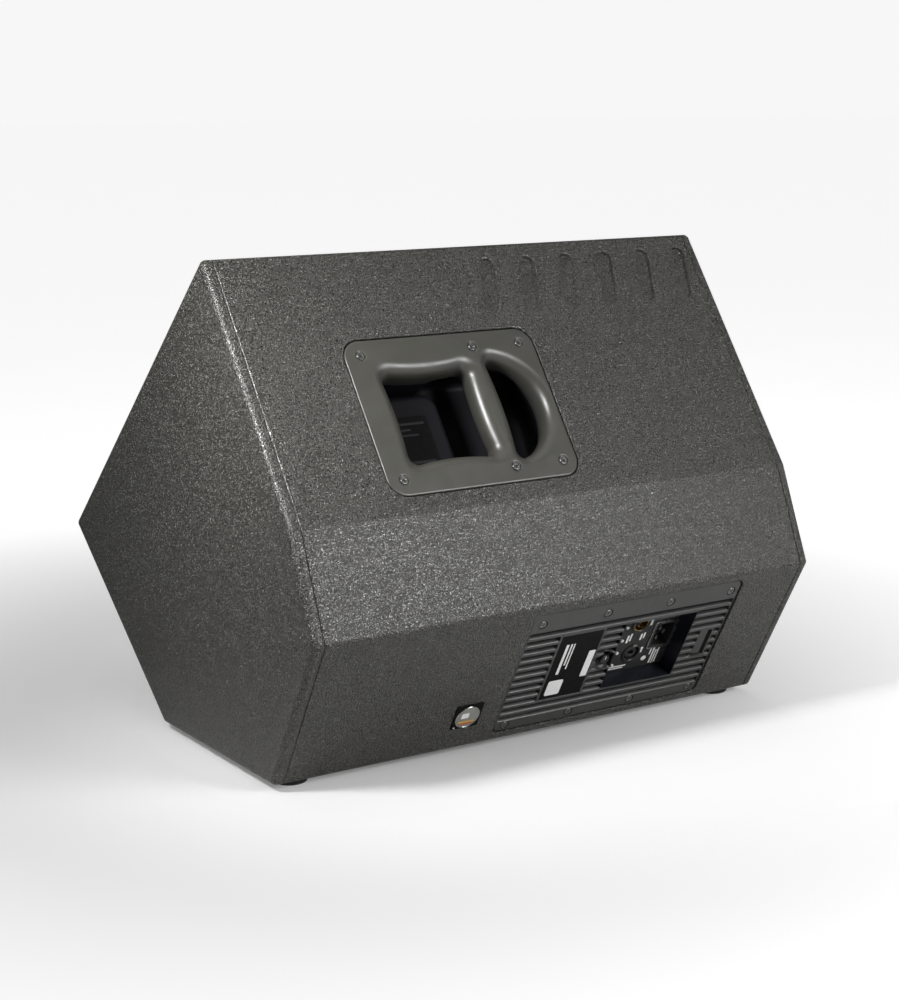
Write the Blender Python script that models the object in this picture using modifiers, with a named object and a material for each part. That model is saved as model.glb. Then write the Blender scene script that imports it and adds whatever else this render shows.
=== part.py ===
"""A two-way powered stage monitor wedge, lying on its floor side.

X runs along the cabinet, +Z is up, and the amplifier side faces -Y. The origin is the centre of the
bounding box at floor level. Every long side of the cabinet has a frame of its own: x along the
cabinet, y along the side (going round handle, chamfer, rear, floor, lower front, baffle) and z into
the cabinet.
"""

import math

import bmesh
import bpy
from mathutils import Matrix, Vector

MM = 0.001

# Cabinet
LENGTH = 620 * MM
FLOOR_SIDE = 248 * MM
REAR_SIDE = 184.3 * MM
CHAMFER_SIDE = 111.2 * MM
HANDLE_SIDE = 299.5 * MM
FRONT_SIDE = 287.4 * MM
REAR_HEADING = 60.9
CHAMFER_HEADING = 111.9
HANDLE_HEADING = 125.2
FRONT_HEADING = 140.4
PANEL = 15 * MM
END_PANEL = 12 * MM
EDGE_RADIUS = 4 * MM
GAP = 0.3 * MM
FOOT_HEIGHT = 8 * MM
FOOT_RADIUS = 19 * MM
FOOT_INSET = (35 * MM, 28 * MM)

# Front
BAFFLE_DEPTH = 30 * MM
BAFFLE = 18 * MM
GRILLE_DEPTH = 1 * MM
GRILLE = 1.5 * MM
GRILLE_FLANGE = 18 * MM
FOAM = 6 * MM
WOOFER_X = 94 * MM
WOOFER_RADIUS = 194 * MM
WOOFER_HOLE = 178 * MM
HORN_X = -200 * MM
HORN_SIZE = (165 * MM, 300 * MM)
HORN_LENGTH = 120 * MM
THROAT_RADIUS = 12.7 * MM
PORT_SIZE = (150 * MM, 44 * MM)
PORT_LENGTH = 80 * MM
PORT_OFFSET = 178 * MM

# Handle, in the frame of the handle side
HANDLE_X = (-189 * MM, 40.5 * MM)
HANDLE_Y = (105.5 * MM, 279 * MM)
HANDLE_CORNER = 20 * MM
HANDLE_SINK = 0.5 * MM
HANDLE_PLATE = 4 * MM
HANDLE_SCREWS_X = (-170 * MM, -36 * MM, 23 * MM)
HANDLE_SCREWS_Y = (122.5 * MM, 261.5 * MM)
CUP_DEPTH = 60 * MM
CUP_WALL = 3 * MM
GRIP_DEPTH = 26 * MM
LEDGE_DEPTH = 30 * MM
LEDGE_X = -80 * MM
POCKET_X = (-158 * MM, -45 * MM)
POCKET_Y = (131 * MM, 250 * MM)
CRESCENT_X = (-27 * MM, 31 * MM)

# Amplifier module, in the frame of the rear side
AMP_X = (-52 * MM, 221 * MM)
AMP_Y = (11.5 * MM, 174 * MM)
AMP_SINK = 1.5 * MM
AMP_FLANGE = 3 * MM
AMP_CORE_X = (-50.5 * MM, 219.5 * MM)
AMP_CORE_Y = (33 * MM, 162 * MM)
AMP_CORE_DEPTH = 14 * MM
AMP_SCREWS_X = (-38.5 * MM, 44.4 * MM, 127.3 * MM, 210.2 * MM)
AMP_SCREWS_Y = (25.5 * MM, 166.5 * MM)
RIB_FIRST = 40 * MM
RIB_PITCH = 10.7 * MM
RIB_ROWS = 12
RIB_SLOT = 5 * MM
RIB_DEPTH = 9.5 * MM
RIB_ENDS = (-49 * MM, 218.5 * MM)
LABEL_X = (-5 * MM, 49 * MM)
LABEL_Y = (48.5 * MM, 139.5 * MM)
BAY_X = (77 * MM, 174 * MM)
BAY_Y = (48 * MM, 140 * MM)
BAY_DEPTH = 21.5 * MM
KNOB_AT = (70 * MM, 99 * MM)
KNOB_BAY_RADIUS = 12 * MM
SOCKET_RADIUS = 12 * MM
INPUT_AT = (123.3 * MM, 115.5 * MM)
LINK_AT = (120.8 * MM, 73 * MM)
INLET_X = (143.3 * MM, 172.8 * MM)
INLET_Y = (75.5 * MM, 112 * MM)
LIGHTS_X = 103 * MM
LIGHTS_Y = (75 * MM, 94 * MM, 112 * MM, 130 * MM)
CONNECTOR_PANEL = 2.2 * MM
HOUSING_DEPTH = 86 * MM
BOARD_DEPTH = 48 * MM

# Cable seal badge, in the frame of the rear side
BADGE_X = (-112 * MM, -79 * MM)
BADGE_Y = (121.5 * MM, 154 * MM)

# Routed ornament on the handle side
ORNAMENT_X = (4 * MM, 286 * MM)
ORNAMENT_Y = (18 * MM, 85 * MM)
ORNAMENT_BARS = 6
ORNAMENT_WIDTH = 20 * MM
ORNAMENT_LEAN = 12 * MM
ORNAMENT_DEPTH = 5 * MM

SCREW_HEAD = 4.5 * MM
SCREW_SHANK = 2 * MM
SCREW_LENGTH = 22 * MM
SCREW_SEAT = 5.8 * MM
SCREW_HOLE = 2.4 * MM
SEAT_DEPTH = 1.6 * MM


# ---------------------------------------------------------------- scene, materials, frames


def clear_scene():
    for item in list(bpy.data.objects):
        bpy.data.objects.remove(item, do_unlink=True)


def new_collection(name):
    made = bpy.data.collections.new(name)
    bpy.context.scene.collection.children.link(made)
    return made


clear_scene()
PARTS = new_collection("stage_monitor_wedge")
CUTTERS = new_collection("cutters")
CUTTERS.hide_render = True


def material(name, colour, roughness, metallic=0.0):
    made = bpy.data.materials.new(name)
    made.use_nodes = True
    shader = made.node_tree.nodes["Principled BSDF"]
    shader.inputs["Base Color"].default_value = (*colour, 1)
    shader.inputs["Roughness"].default_value = roughness
    shader.inputs["Metallic"].default_value = metallic
    made.diffuse_color = (*colour, 1)
    return made


PAINT = ("cabinet_paint", (0.085, 0.083, 0.078), 0.6, 0.0)
GRILLE_STEEL = ("grille_steel", (0.02, 0.02, 0.02), 0.5, 0.6)
FOAM_BLACK = ("foam", (0.012, 0.012, 0.012), 0.95, 0.0)
HANDLE_CAST = ("handle_casting", (0.11, 0.11, 0.105), 0.42, 0.2)
AMP_CAST = ("amp_casting", (0.10, 0.10, 0.098), 0.5, 0.3)
SCREW_STEEL = ("screw_steel", (0.10, 0.10, 0.10), 0.35, 0.9)
BLACK_PLASTIC = ("black_plastic", (0.015, 0.015, 0.016), 0.45, 0.0)
PANEL_METAL = ("panel_metal", (0.10, 0.10, 0.10), 0.5, 0.3)
RUBBER = ("rubber", (0.02, 0.02, 0.02), 0.8, 0.0)
LENS = ("light_pipe", (0.8, 0.85, 0.85), 0.25, 0.0)
GLOSS_LABEL = ("gloss_label", (0.006, 0.006, 0.006), 0.25, 0.0)
PAPER_CONE = ("paper_cone", (0.03, 0.03, 0.03), 0.8, 0.0)
STEEL_PLATE = ("plated_steel", (0.45, 0.45, 0.45), 0.4, 1.0)
FERRITE = ("ferrite", (0.05, 0.05, 0.055), 0.6, 0.0)
BASKET = ("basket_steel", (0.03, 0.03, 0.03), 0.45, 0.4)
COPPER = ("copper_wire", (0.6, 0.3, 0.15), 0.35, 1.0)
CIRCUIT = ("circuit_laminate", (0.02, 0.12, 0.05), 0.4, 0.0)
SHEET_STEEL = ("sheet_steel", (0.5, 0.5, 0.5), 0.45, 1.0)
DIAPHRAGM = ("diaphragm_metal", (0.5, 0.5, 0.5), 0.4, 1.0)


def step(start, length, heading):
    turn = math.radians(heading)
    return (start[0] + length * math.cos(turn), start[1] + length * math.sin(turn))


def profile():
    """The corners of the cabinet's end, as (towards the rear, up), named by the sides that meet."""
    floor_front = (0.0, 0.0)
    floor_rear = step(floor_front, FLOOR_SIDE, 0)
    rear_chamfer = step(floor_rear, REAR_SIDE, REAR_HEADING)
    chamfer_handle = step(rear_chamfer, CHAMFER_SIDE, CHAMFER_HEADING)
    handle_baffle = step(chamfer_handle, HANDLE_SIDE, HANDLE_HEADING)
    baffle_front = step(floor_front, FRONT_SIDE, FRONT_HEADING)
    corners = [handle_baffle, chamfer_handle, rear_chamfer, floor_rear, floor_front, baffle_front]
    middle = (max(c[0] for c in corners) + min(c[0] for c in corners)) / 2
    return [Vector((middle - back, up + FOOT_HEIGHT)) for back, up in corners]


CORNERS = profile()


class Side:
    """One long flat side of the cabinet, from one corner of the profile to the next."""

    def __init__(self, number):
        self.start = CORNERS[number]
        self.end = CORNERS[(number + 1) % len(CORNERS)]
        self.along = (self.end - self.start).normalized()
        self.inward = Vector((-self.along.y, self.along.x))
        self.width = (self.end - self.start).length

    def flat(self, along, depth=0.0):
        """A point of the profile, in the cabinet's own (y, z)."""
        return self.start + self.along * along + self.inward * depth

    def frame(self, x=0.0, along=0.0, depth=0.0):
        place = self.flat(along, depth)
        columns = (
            (1, 0, 0),
            (0, self.along.x, self.along.y),
            (0, self.inward.x, self.inward.y),
        )
        turned = Matrix(columns).transposed().to_4x4()
        return Matrix.Translation((x, place.x, place.y)) @ turned


HANDLE_FACE, CHAMFER_FACE, REAR_FACE, FLOOR_FACE, FRONT_FACE, BAFFLE_FACE = (Side(n) for n in range(6))
# Across the cabinet: local x is world Y, local y is world Z and local z is world X.
ACROSS = Matrix(((0, 0, 1, 0), (1, 0, 0, 0), (0, 1, 0, 0), (0, 0, 0, 1)))


def across_frame(x):
    return Matrix.Translation((x, 0, 0)) @ ACROSS


# ---------------------------------------------------------------- shapes


def evaluated_mesh(item, name):
    bpy.context.view_layer.update()
    graph = bpy.context.evaluated_depsgraph_get()
    mesh = bpy.data.meshes.new_from_object(item.evaluated_get(graph))
    mesh.name = name
    return mesh


def add_object(name, data, frame, look):
    item = bpy.data.objects.new(name, data)
    item.matrix_world = frame
    if look is None:
        CUTTERS.objects.link(item)
        item.hide_render = True
        item.display_type = "WIRE"
        return item
    PARTS.objects.link(item)
    if look[0] not in bpy.data.materials:
        material(*look)
    data.materials.clear()
    data.materials.append(bpy.data.materials[look[0]])
    return item


def arc(centre, radius, start, end, steps):
    """Points on an arc, from one angle to another in degrees, with both ends."""
    angles = [math.radians(start + (end - start) * k / steps) for k in range(steps + 1)]
    return [(centre[0] + radius * math.cos(a), centre[1] + radius * math.sin(a)) for a in angles]


def circle(centre, radius, steps=20):
    return arc(centre, radius, 0, 360, steps)[:-1]


def rounded_rect(xs, ys, radius, steps=3):
    low_x, high_x = xs[0] + radius, xs[1] - radius
    low_y, high_y = ys[0] + radius, ys[1] - radius
    corners = (((low_x, low_y), 180), ((high_x, low_y), 270), ((high_x, high_y), 0), ((low_x, high_y), 90))
    points = []
    for centre, start in corners:
        points += arc(centre, radius, start, start + 90, steps)
    return points


def rect(xs, ys):
    return [(xs[0], ys[0]), (xs[1], ys[0]), (xs[1], ys[1]), (xs[0], ys[1])]


def pill(start, end, width, steps=3):
    """A slot with round ends between two points."""
    heading = math.degrees(math.atan2(end[1] - start[1], end[0] - start[0]))
    tail = arc(start, width / 2, heading + 90, heading + 270, steps)
    return tail + arc(end, width / 2, heading - 90, heading + 90, steps)


def grown(xs, by):
    return (xs[0] - by, xs[1] + by)


def slab(name, outlines, depths, frame, look=None):
    """Flat outlines given a thickness. An outline inside another is a hole in it."""
    curve = bpy.data.curves.new(name, "CURVE")
    curve.dimensions = "2D"
    curve.fill_mode = "BOTH"
    curve.extrude = abs(depths[1] - depths[0]) / 2
    for outline in outlines:
        spline = curve.splines.new("POLY")
        spline.points.add(len(outline) - 1)
        for point, (x, y) in zip(spline.points, outline):
            point.co = (x, y, 0, 1)
        spline.use_cyclic_u = True
    flat = bpy.data.objects.new(name + "_outline", curve)
    bpy.context.scene.collection.objects.link(flat)
    mesh = evaluated_mesh(flat, name)
    bpy.data.objects.remove(flat, do_unlink=True)
    shape = bmesh.new()
    shape.from_mesh(mesh)
    bmesh.ops.remove_doubles(shape, verts=shape.verts, dist=0.001 * MM)
    bmesh.ops.translate(shape, verts=shape.verts, vec=(0, 0, (depths[0] + depths[1]) / 2))
    bmesh.ops.recalc_face_normals(shape, faces=shape.faces)
    shape.to_mesh(mesh)
    shape.free()
    return add_object(name, mesh, frame, look)


def turned(name, points, frame, look=None, steps=24, ring=False):
    """A profile of (radius, depth) points turned about the frame's z axis, faces outwards."""
    doubled_area = sum(a[0] * b[1] - b[0] * a[1] for a, b in zip(points, points[1:] + points[:1]))
    if doubled_area > 0:
        points = points[::-1]
    mesh = bpy.data.meshes.new(name)
    shape = bmesh.new()
    verts = [shape.verts.new((radius, 0, depth)) for radius, depth in points]
    for first, second in zip(verts, verts[1:]):
        shape.edges.new((first, second))
    if ring:
        shape.edges.new((verts[-1], verts[0]))
    shape.to_mesh(mesh)
    shape.free()
    item = add_object(name, mesh, frame, look)
    screw = item.modifiers.new("turn", "SCREW")
    screw.steps = steps
    screw.render_steps = steps
    screw.use_merge_vertices = True
    screw.merge_threshold = 0.00001
    return item


def boolean(item, tool, operation="DIFFERENCE"):
    made = item.modifiers.new(tool.name, "BOOLEAN")
    made.operation = operation
    made.solver = "EXACT"
    made.object = tool
    return item


def tube(name, points, radius, look):
    """A round lead through points of the cabinet's frame."""
    curve = bpy.data.curves.new(name, "CURVE")
    curve.dimensions = "3D"
    curve.bevel_depth = radius
    curve.bevel_resolution = 2
    curve.use_fill_caps = True
    spline = curve.splines.new("POLY")
    spline.points.add(len(points) - 1)
    for point, place in zip(spline.points, points):
        point.co = (*place, 1)
    return add_object(name, curve, Matrix.Identity(4), look)


def smooth_route(stops, per_span=4):
    """Points on a Catmull-Rom curve through the stops."""
    ends = [stops[0] * 2 - stops[1], *stops, stops[-1] * 2 - stops[-2]]
    route = []
    for a, b, c, d in zip(ends, ends[1:], ends[2:], ends[3:]):
        for k in range(per_span):
            t = k / per_span
            bend = (c - a) * t + (a * 2 - b * 5 + c * 4 - d) * t**2 + (b * 3 - a - c * 3 + d) * t**3
            route.append(b + bend / 2)
    route.append(stops[-1])
    return route


# ---------------------------------------------------------------- cabinet


def line_meet(point, heading, other, other_heading):
    """Where two lines of the profile meet."""
    cross = heading.x * other_heading.y - heading.y * other_heading.x
    gap = other - point
    reach = (gap.x * other_heading.y - gap.y * other_heading.x) / cross
    return point + heading * reach


def inner_corner(side, next_side, depth=PANEL):
    return line_meet(side.flat(0, depth), side.along, next_side.flat(0, depth), next_side.along)


def wrap_panel(name, side, before, after):
    """A board of the cabinet's wrap, mitred to its neighbours; at the baffle's edge it is cut flush."""
    first = inner_corner(before, side) if before else line_meet(
        side.flat(0, PANEL), side.along, BAFFLE_FACE.start, BAFFLE_FACE.along
    )
    last = inner_corner(side, after) if after else line_meet(
        side.flat(0, PANEL), side.along, BAFFLE_FACE.start, BAFFLE_FACE.along
    )
    ease = side.along * (GAP / 2)
    corners = [side.start + ease, side.end - ease, last - ease, first + ease]
    if not before:
        corners[0] -= ease
        corners[3] -= ease
    if not after:
        corners[1] += ease
        corners[2] += ease
    half = LENGTH / 2 - END_PANEL - GAP
    return slab(name, [[tuple(c) for c in corners]], (-half, half), across_frame(0), PAINT)


def seat_cutter(name, places, depths, frame):
    outlines = [circle(place, SCREW_SEAT, 12) for place in places]
    return slab(name, outlines, depths, frame)


def grid(xs, ys):
    return [(x, y) for y in ys for x in xs]


def ornament_outlines():
    pitch = (ORNAMENT_X[1] - ORNAMENT_X[0] - ORNAMENT_WIDTH) / (ORNAMENT_BARS - 1)
    outlines = []
    for k in range(ORNAMENT_BARS):
        middle = ORNAMENT_X[0] + ORNAMENT_WIDTH / 2 + k * pitch
        top = (middle + ORNAMENT_LEAN / 2, ORNAMENT_Y[0] + ORNAMENT_WIDTH / 2)
        foot = (middle - ORNAMENT_LEAN / 2, ORNAMENT_Y[1] - ORNAMENT_WIDTH / 2)
        outlines.append(pill(top, foot, ORNAMENT_WIDTH, 6))
    return outlines


def cup_hull(by):
    """The outline of the handle's cup where it passes through the board."""
    return rounded_rect((POCKET_X[0] - by, CRESCENT_X[1] + by), grown(POCKET_Y, by), HANDLE_CORNER)


def cabinet():
    frame = HANDLE_FACE.frame()
    board = wrap_panel("handle_panel", HANDLE_FACE, None, CHAMFER_FACE)
    rebate = rounded_rect(grown(HANDLE_X, 0.75 * MM), grown(HANDLE_Y, 0.75 * MM), HANDLE_CORNER, 6)
    sink = HANDLE_SINK + HANDLE_PLATE + GAP
    boolean(board, slab("handle_rebate", [rebate], (-PANEL, sink), frame))
    through = [cup_hull(CUP_WALL + GAP)]
    through += [circle(place, SCREW_HOLE, 8) for place in grid(HANDLE_SCREWS_X, HANDLE_SCREWS_Y)]
    boolean(board, slab("handle_openings", through, (-PANEL, 2 * PANEL), frame))
    boolean(board, slab("ornament_slots", ornament_outlines(), (-PANEL, ORNAMENT_DEPTH), frame))

    wrap_panel("chamfer_panel", CHAMFER_FACE, HANDLE_FACE, REAR_FACE)

    frame = REAR_FACE.frame()
    board = wrap_panel("rear_panel", REAR_FACE, CHAMFER_FACE, FLOOR_FACE)
    rebate = rounded_rect(grown(AMP_X, 1 * MM), grown(AMP_Y, 1 * MM), 8 * MM)
    boolean(board, slab("amp_rebate", [rebate], (-PANEL, AMP_SINK + AMP_FLANGE + GAP), frame))
    through = [rect(grown(AMP_CORE_X, 0.5 * MM), grown(AMP_CORE_Y, 0.5 * MM))]
    through += [circle(place, SCREW_HOLE, 8) for place in grid(AMP_SCREWS_X, AMP_SCREWS_Y)]
    boolean(board, slab("amp_opening", through, (-PANEL, 2 * PANEL), frame))

    wrap_panel("floor_panel", FLOOR_FACE, REAR_FACE, FRONT_FACE)
    wrap_panel("front_lower_panel", FRONT_FACE, FLOOR_FACE, None)


def end_panel(name, x):
    """A board over the whole end, with its outer edge rounded."""
    outline = [tuple(corner) for corner in CORNERS]
    thickness = (0, END_PANEL) if x > 0 else (-END_PANEL, 0)
    inner = x - math.copysign(END_PANEL, x)
    board = slab(name, [outline], thickness, across_frame(inner), PAINT)
    outer_z = math.copysign(END_PANEL, x)
    shape = bmesh.new()
    shape.from_mesh(board.data)
    bmesh.ops.dissolve_limit(shape, angle_limit=0.01, verts=shape.verts, edges=shape.edges)
    rim = [edge for edge in shape.edges if all(abs(v.co.z - outer_z) < MM for v in edge.verts)]
    bmesh.ops.bevel(shape, geom=rim, offset=EDGE_RADIUS, segments=2, profile=0.5, affect="EDGES")
    bmesh.ops.recalc_face_normals(shape, faces=shape.faces)
    shape.to_mesh(board.data)
    shape.free()
    return board


def baffle_span(depth, clearance):
    """How far the space between the boards beside the baffle reaches at a depth."""
    heading = BAFFLE_FACE.along
    origin = BAFFLE_FACE.flat(0, depth)
    low = line_meet(origin, heading, FRONT_FACE.flat(0, PANEL), FRONT_FACE.along)
    high = line_meet(origin, heading, HANDLE_FACE.flat(0, PANEL), HANDLE_FACE.along)
    return ((low - origin).dot(heading) + clearance, (high - origin).dot(heading) - clearance)


def front_board_span(depths, clearance):
    """The widest flat board that fits between the boards over a range of depths."""
    spans = [baffle_span(depth, clearance) for depth in depths]
    return (max(s[0] for s in spans), min(s[1] for s in spans))


INNER_X = (-(LENGTH / 2 - END_PANEL), LENGTH / 2 - END_PANEL)
BAFFLE_MIDDLE = sum(front_board_span((BAFFLE_DEPTH, BAFFLE_DEPTH + BAFFLE), 0)) / 2


def around(centre, size):
    """Low and high ends of a size about a centre, for x and for y."""
    return tuple((c - s / 2, c + s / 2) for c, s in zip(centre, size))


def port_centres():
    return [(HORN_X, BAFFLE_MIDDLE + side * PORT_OFFSET) for side in (-1, 1)]


def front():
    frame = BAFFLE_FACE.frame()
    depths = (BAFFLE_DEPTH, BAFFLE_DEPTH + BAFFLE)
    board_x = grown(INNER_X, -GAP)
    outlines = [rect(board_x, front_board_span(depths, GAP))]
    outlines.append(circle((WOOFER_X, BAFFLE_MIDDLE), WOOFER_HOLE, 36))
    throat = around((HORN_X, BAFFLE_MIDDLE), (HORN_SIZE[0] - 10 * MM, HORN_SIZE[1] - 10 * MM))
    outlines.append(rounded_rect(*throat, 8 * MM))
    for centre in port_centres():
        outlines.append(rounded_rect(*around(centre, PORT_SIZE), 8 * MM))
    slab("baffle", outlines, depths, frame, PAINT)

    back = GRILLE_DEPTH + GRILLE_FLANGE
    span = front_board_span((GRILLE_DEPTH, back), 1 * MM)
    grille_x = grown(INNER_X, -1 * MM)
    grille = slab("grille", [rounded_rect(grille_x, span, 6 * MM)], (GRILLE_DEPTH, back), frame, GRILLE_STEEL)
    inside = rounded_rect(grown(grille_x, -GRILLE), grown(span, -GRILLE), 5 * MM)
    boolean(grille, slab("grille_hollow", [inside], (GRILLE_DEPTH + GRILLE, back + MM), frame))
    foam = rounded_rect(grown(grille_x, -GRILLE - GAP), grown(span, -GRILLE - GAP), 5 * MM)
    face = GRILLE_DEPTH + GRILLE + GAP
    slab("grille_foam", [foam], (face, face + FOAM), frame, FOAM_BLACK)


# ---------------------------------------------------------------- drivers, horn and ports


def woofer():
    frame = BAFFLE_FACE.frame(WOOFER_X, BAFFLE_MIDDLE)
    seat = BAFFLE_DEPTH - GAP
    basket = [
        (WOOFER_RADIUS, 24 * MM), (WOOFER_RADIUS, seat), (176 * MM, seat), (175 * MM, 50 * MM),
        (112 * MM, 118 * MM), (98 * MM, 134 * MM), (45 * MM, 134 * MM), (45 * MM, 131 * MM),
        (92 * MM, 131 * MM), (92 * MM, 118 * MM), (108 * MM, 116 * MM), (171 * MM, 49 * MM),
        (171 * MM, 26 * MM), (186 * MM, 26 * MM), (186 * MM, 24 * MM),
    ]
    frame_body = turned("woofer_frame", basket, frame, BASKET, 24, ring=True)
    windows = []
    for k in range(4):
        middle = 45 + 90 * k
        outer = arc((0, 0), 165 * MM, middle - 28, middle + 28, 6)
        windows.append(outer + arc((0, 0), 120 * MM, middle + 28, middle - 28, 6))
    boolean(frame_body, slab("basket_windows", windows, (52 * MM, 140 * MM), frame))
    ring = [(95 * MM, 134.3 * MM), (95 * MM, 158 * MM), (42 * MM, 158 * MM), (42 * MM, 134.3 * MM)]
    turned("woofer_magnet", ring, frame, FERRITE, 24, ring=True)
    yoke = [
        (0, 124 * MM), (36 * MM, 124 * MM), (36 * MM, 158.3 * MM), (92 * MM, 158.3 * MM),
        (92 * MM, 166 * MM), (88 * MM, 170 * MM), (0, 170 * MM),
    ]
    turned("woofer_yoke", yoke, frame, STEEL_PLATE, 24)
    cone = [(160 * MM, 31 * MM), (39 * MM, 104 * MM), (39 * MM, 101.6 * MM), (158 * MM, 29.6 * MM)]
    turned("woofer_cone", cone, frame, PAPER_CONE, 24, ring=True)
    dome = arc((0, 127.5 * MM), 60 * MM, -34, -90, 5)
    shell = arc((0, 127.5 * MM), 58.5 * MM, -90, -34, 5)
    turned("dust_cap", dome[::-1] + shell[::-1], frame, PAPER_CONE, 24)
    lip, edge = 25.3 * MM, 30.8 * MM
    roll = arc((168 * MM, lip), 7.5 * MM, 0, -180, 5)
    inner_roll = arc((168 * MM, lip), 6.3 * MM, -180, 0, 5)
    outer_lip = [(174.4 * MM, lip + 0.4 * MM), (185 * MM, lip + 0.4 * MM)]
    inner_lip = [(160.3 * MM, edge), (161.6 * MM, edge)]
    surround = [(185 * MM, lip), *roll, *inner_lip, *inner_roll[1:], *outer_lip]
    turned("woofer_surround", surround, frame, RUBBER, 24, ring=True)
    waves = [(41 + 11 * k, 114 + (1.2 if k % 2 else -1.2)) for k in range(5)]
    face = [(r * MM, (z - 0.4) * MM) for r, z in waves]
    under = [(r * MM, (z + 0.4) * MM) for r, z in waves[::-1]]
    turned("woofer_spider", face + under, frame, FOAM_BLACK, 24, ring=True)
    coil = [(38.6 * MM, 99 * MM), (38.6 * MM, 146 * MM), (37.2 * MM, 146 * MM), (37.2 * MM, 99 * MM)]
    turned("voice_coil", coil, frame, COPPER, 24, ring=True)


def horn():
    """A flared mouth lofted from a rounded rectangle down to a round throat, and its driver."""
    frame = BAFFLE_FACE.frame(HORN_X, BAFFLE_MIDDLE, BAFFLE_DEPTH - 4 * MM)
    around_steps = 5
    rings = []
    mouth = (HORN_SIZE[0] / 2 - 9 * MM, HORN_SIZE[1] / 2 - 9 * MM)
    sections = [((HORN_SIZE[0] / 2, HORN_SIZE[1] / 2), 12 * MM, 0.0), (mouth, 12 * MM, 0.0)]
    for k in range(1, 6):
        t = k / 5
        shrink = (1 - t) ** 1.8
        half = tuple(THROAT_RADIUS + (m - THROAT_RADIUS) * shrink for m in mouth)
        radius = THROAT_RADIUS if k == 5 else min(12 * MM + 10 * MM * t, min(half) - 0.1 * MM)
        sections.append((half, radius, HORN_LENGTH * t))
    sections.append(((38 * MM, 38 * MM), 38 * MM, HORN_LENGTH))
    shape = bmesh.new()
    for half, radius, depth in sections:
        radius = min(radius, min(half) * 0.999)
        outline = rounded_rect((-half[0], half[0]), (-half[1], half[1]), radius, around_steps - 1)
        rings.append([shape.verts.new((x, y, depth)) for x, y in outline])
    for first, second in zip(rings, rings[1:]):
        edges = []
        for ring in (first, second):
            for a, b in zip(ring, ring[1:] + ring[:1]):
                edges.append(shape.edges.get((a, b)) or shape.edges.new((a, b)))
        bmesh.ops.bridge_loops(shape, edges=edges)
    bmesh.ops.recalc_face_normals(shape, faces=shape.faces)
    mesh = bpy.data.meshes.new("horn")
    shape.to_mesh(mesh)
    shape.free()
    item = add_object("horn", mesh, frame, BLACK_PLASTIC)
    solid = item.modifiers.new("wall", "SOLIDIFY")
    solid.thickness = 3 * MM
    solid.offset = 0

    top = HORN_LENGTH + BAFFLE_DEPTH - 4 * MM + 2 * MM
    frame = BAFFLE_FACE.frame(HORN_X, BAFFLE_MIDDLE, top)
    body = [
        (THROAT_RADIUS, GAP), (52 * MM, GAP), (52 * MM, 34 * MM), (30 * MM, 34 * MM),
        (THROAT_RADIUS, 22 * MM),
    ]
    turned("hf_driver", body, frame, FERRITE, 24, ring=True)
    dome_centre = (0, 18 * MM)
    outside = arc(dome_centre, 34.6 * MM, 90, 30, 6)
    inside = arc(dome_centre, 34 * MM, 30, 90, 6)
    rim = [(36 * MM, 35.6 * MM), (36 * MM, 35 * MM)]
    diaphragm = [(0, outside[0][1])] + outside[1:] + rim + inside[:-1] + [(0, inside[-1][1])]
    turned("hf_diaphragm", diaphragm, frame, DIAPHRAGM, 20)
    cover = [
        (0, 57 * MM), (43 * MM, 57 * MM), (46 * MM, 54 * MM), (46 * MM, 34 * MM + GAP),
        (44 * MM, 34 * MM + GAP), (44 * MM, 53 * MM), (42 * MM, 55 * MM), (0, 55 * MM),
    ]
    turned("hf_cover", cover, frame, BLACK_PLASTIC, 24)


def ports():
    frame = BAFFLE_FACE.frame()
    for name, centre in zip(("port_tube_lower", "port_tube_upper"), port_centres()):
        outer = around(centre, (PORT_SIZE[0] - 2 * GAP, PORT_SIZE[1] - 2 * GAP))
        inner = tuple(grown(pair, -2.5 * MM) for pair in outer)
        outlines = [rounded_rect(*outer, 7.5 * MM), rounded_rect(*inner, 5 * MM)]
        slab(name, outlines, (BAFFLE_DEPTH, BAFFLE_DEPTH + PORT_LENGTH), frame, BLACK_PLASTIC)


# ---------------------------------------------------------------- screws and feet


def screw_mesh():
    """A pan-head screw whose head top is at depth 0, with a round dimple in the middle of the head."""
    body = [
        (0, 0.8 * MM), (1.6 * MM, 0), (SCREW_HEAD * 0.85, 0), (SCREW_HEAD, 1.3 * MM), (SCREW_SHANK, 1.3 * MM),
        (SCREW_SHANK, SCREW_LENGTH - 2 * MM), (0, SCREW_LENGTH),
    ]
    item = turned("screw_master", body, Matrix.Identity(4), SCREW_STEEL, 10)
    mesh = evaluated_mesh(item, "screw")
    bpy.data.objects.remove(item, do_unlink=True)
    return mesh


def screws():
    mesh = screw_mesh()
    sets = (
        ("handle_screw", HANDLE_FACE, grid(HANDLE_SCREWS_X, HANDLE_SCREWS_Y), HANDLE_SINK),
        ("amp_screw", REAR_FACE, grid(AMP_SCREWS_X, AMP_SCREWS_Y), AMP_SINK),
    )
    for name, side, places, sink in sets:
        for number, (x, y) in enumerate(places, 1):
            add_object(f"{name}_{number}", mesh, side.frame(x, y, sink), SCREW_STEEL)


def foot(name, frame, radius):
    """A round rubber foot; depth 0 is the board and it stands out to minus its height."""
    points = [
        (0, -FOOT_HEIGHT + 2.5 * MM), (5 * MM, -FOOT_HEIGHT + 2.5 * MM), (6 * MM, -FOOT_HEIGHT),
        (radius - 3.5 * MM, -FOOT_HEIGHT), (radius - 1.5 * MM, -FOOT_HEIGHT + 1.5 * MM),
        (radius, -GAP), (0, -GAP),
    ]
    turned(name, points, frame, RUBBER, 18)


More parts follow.
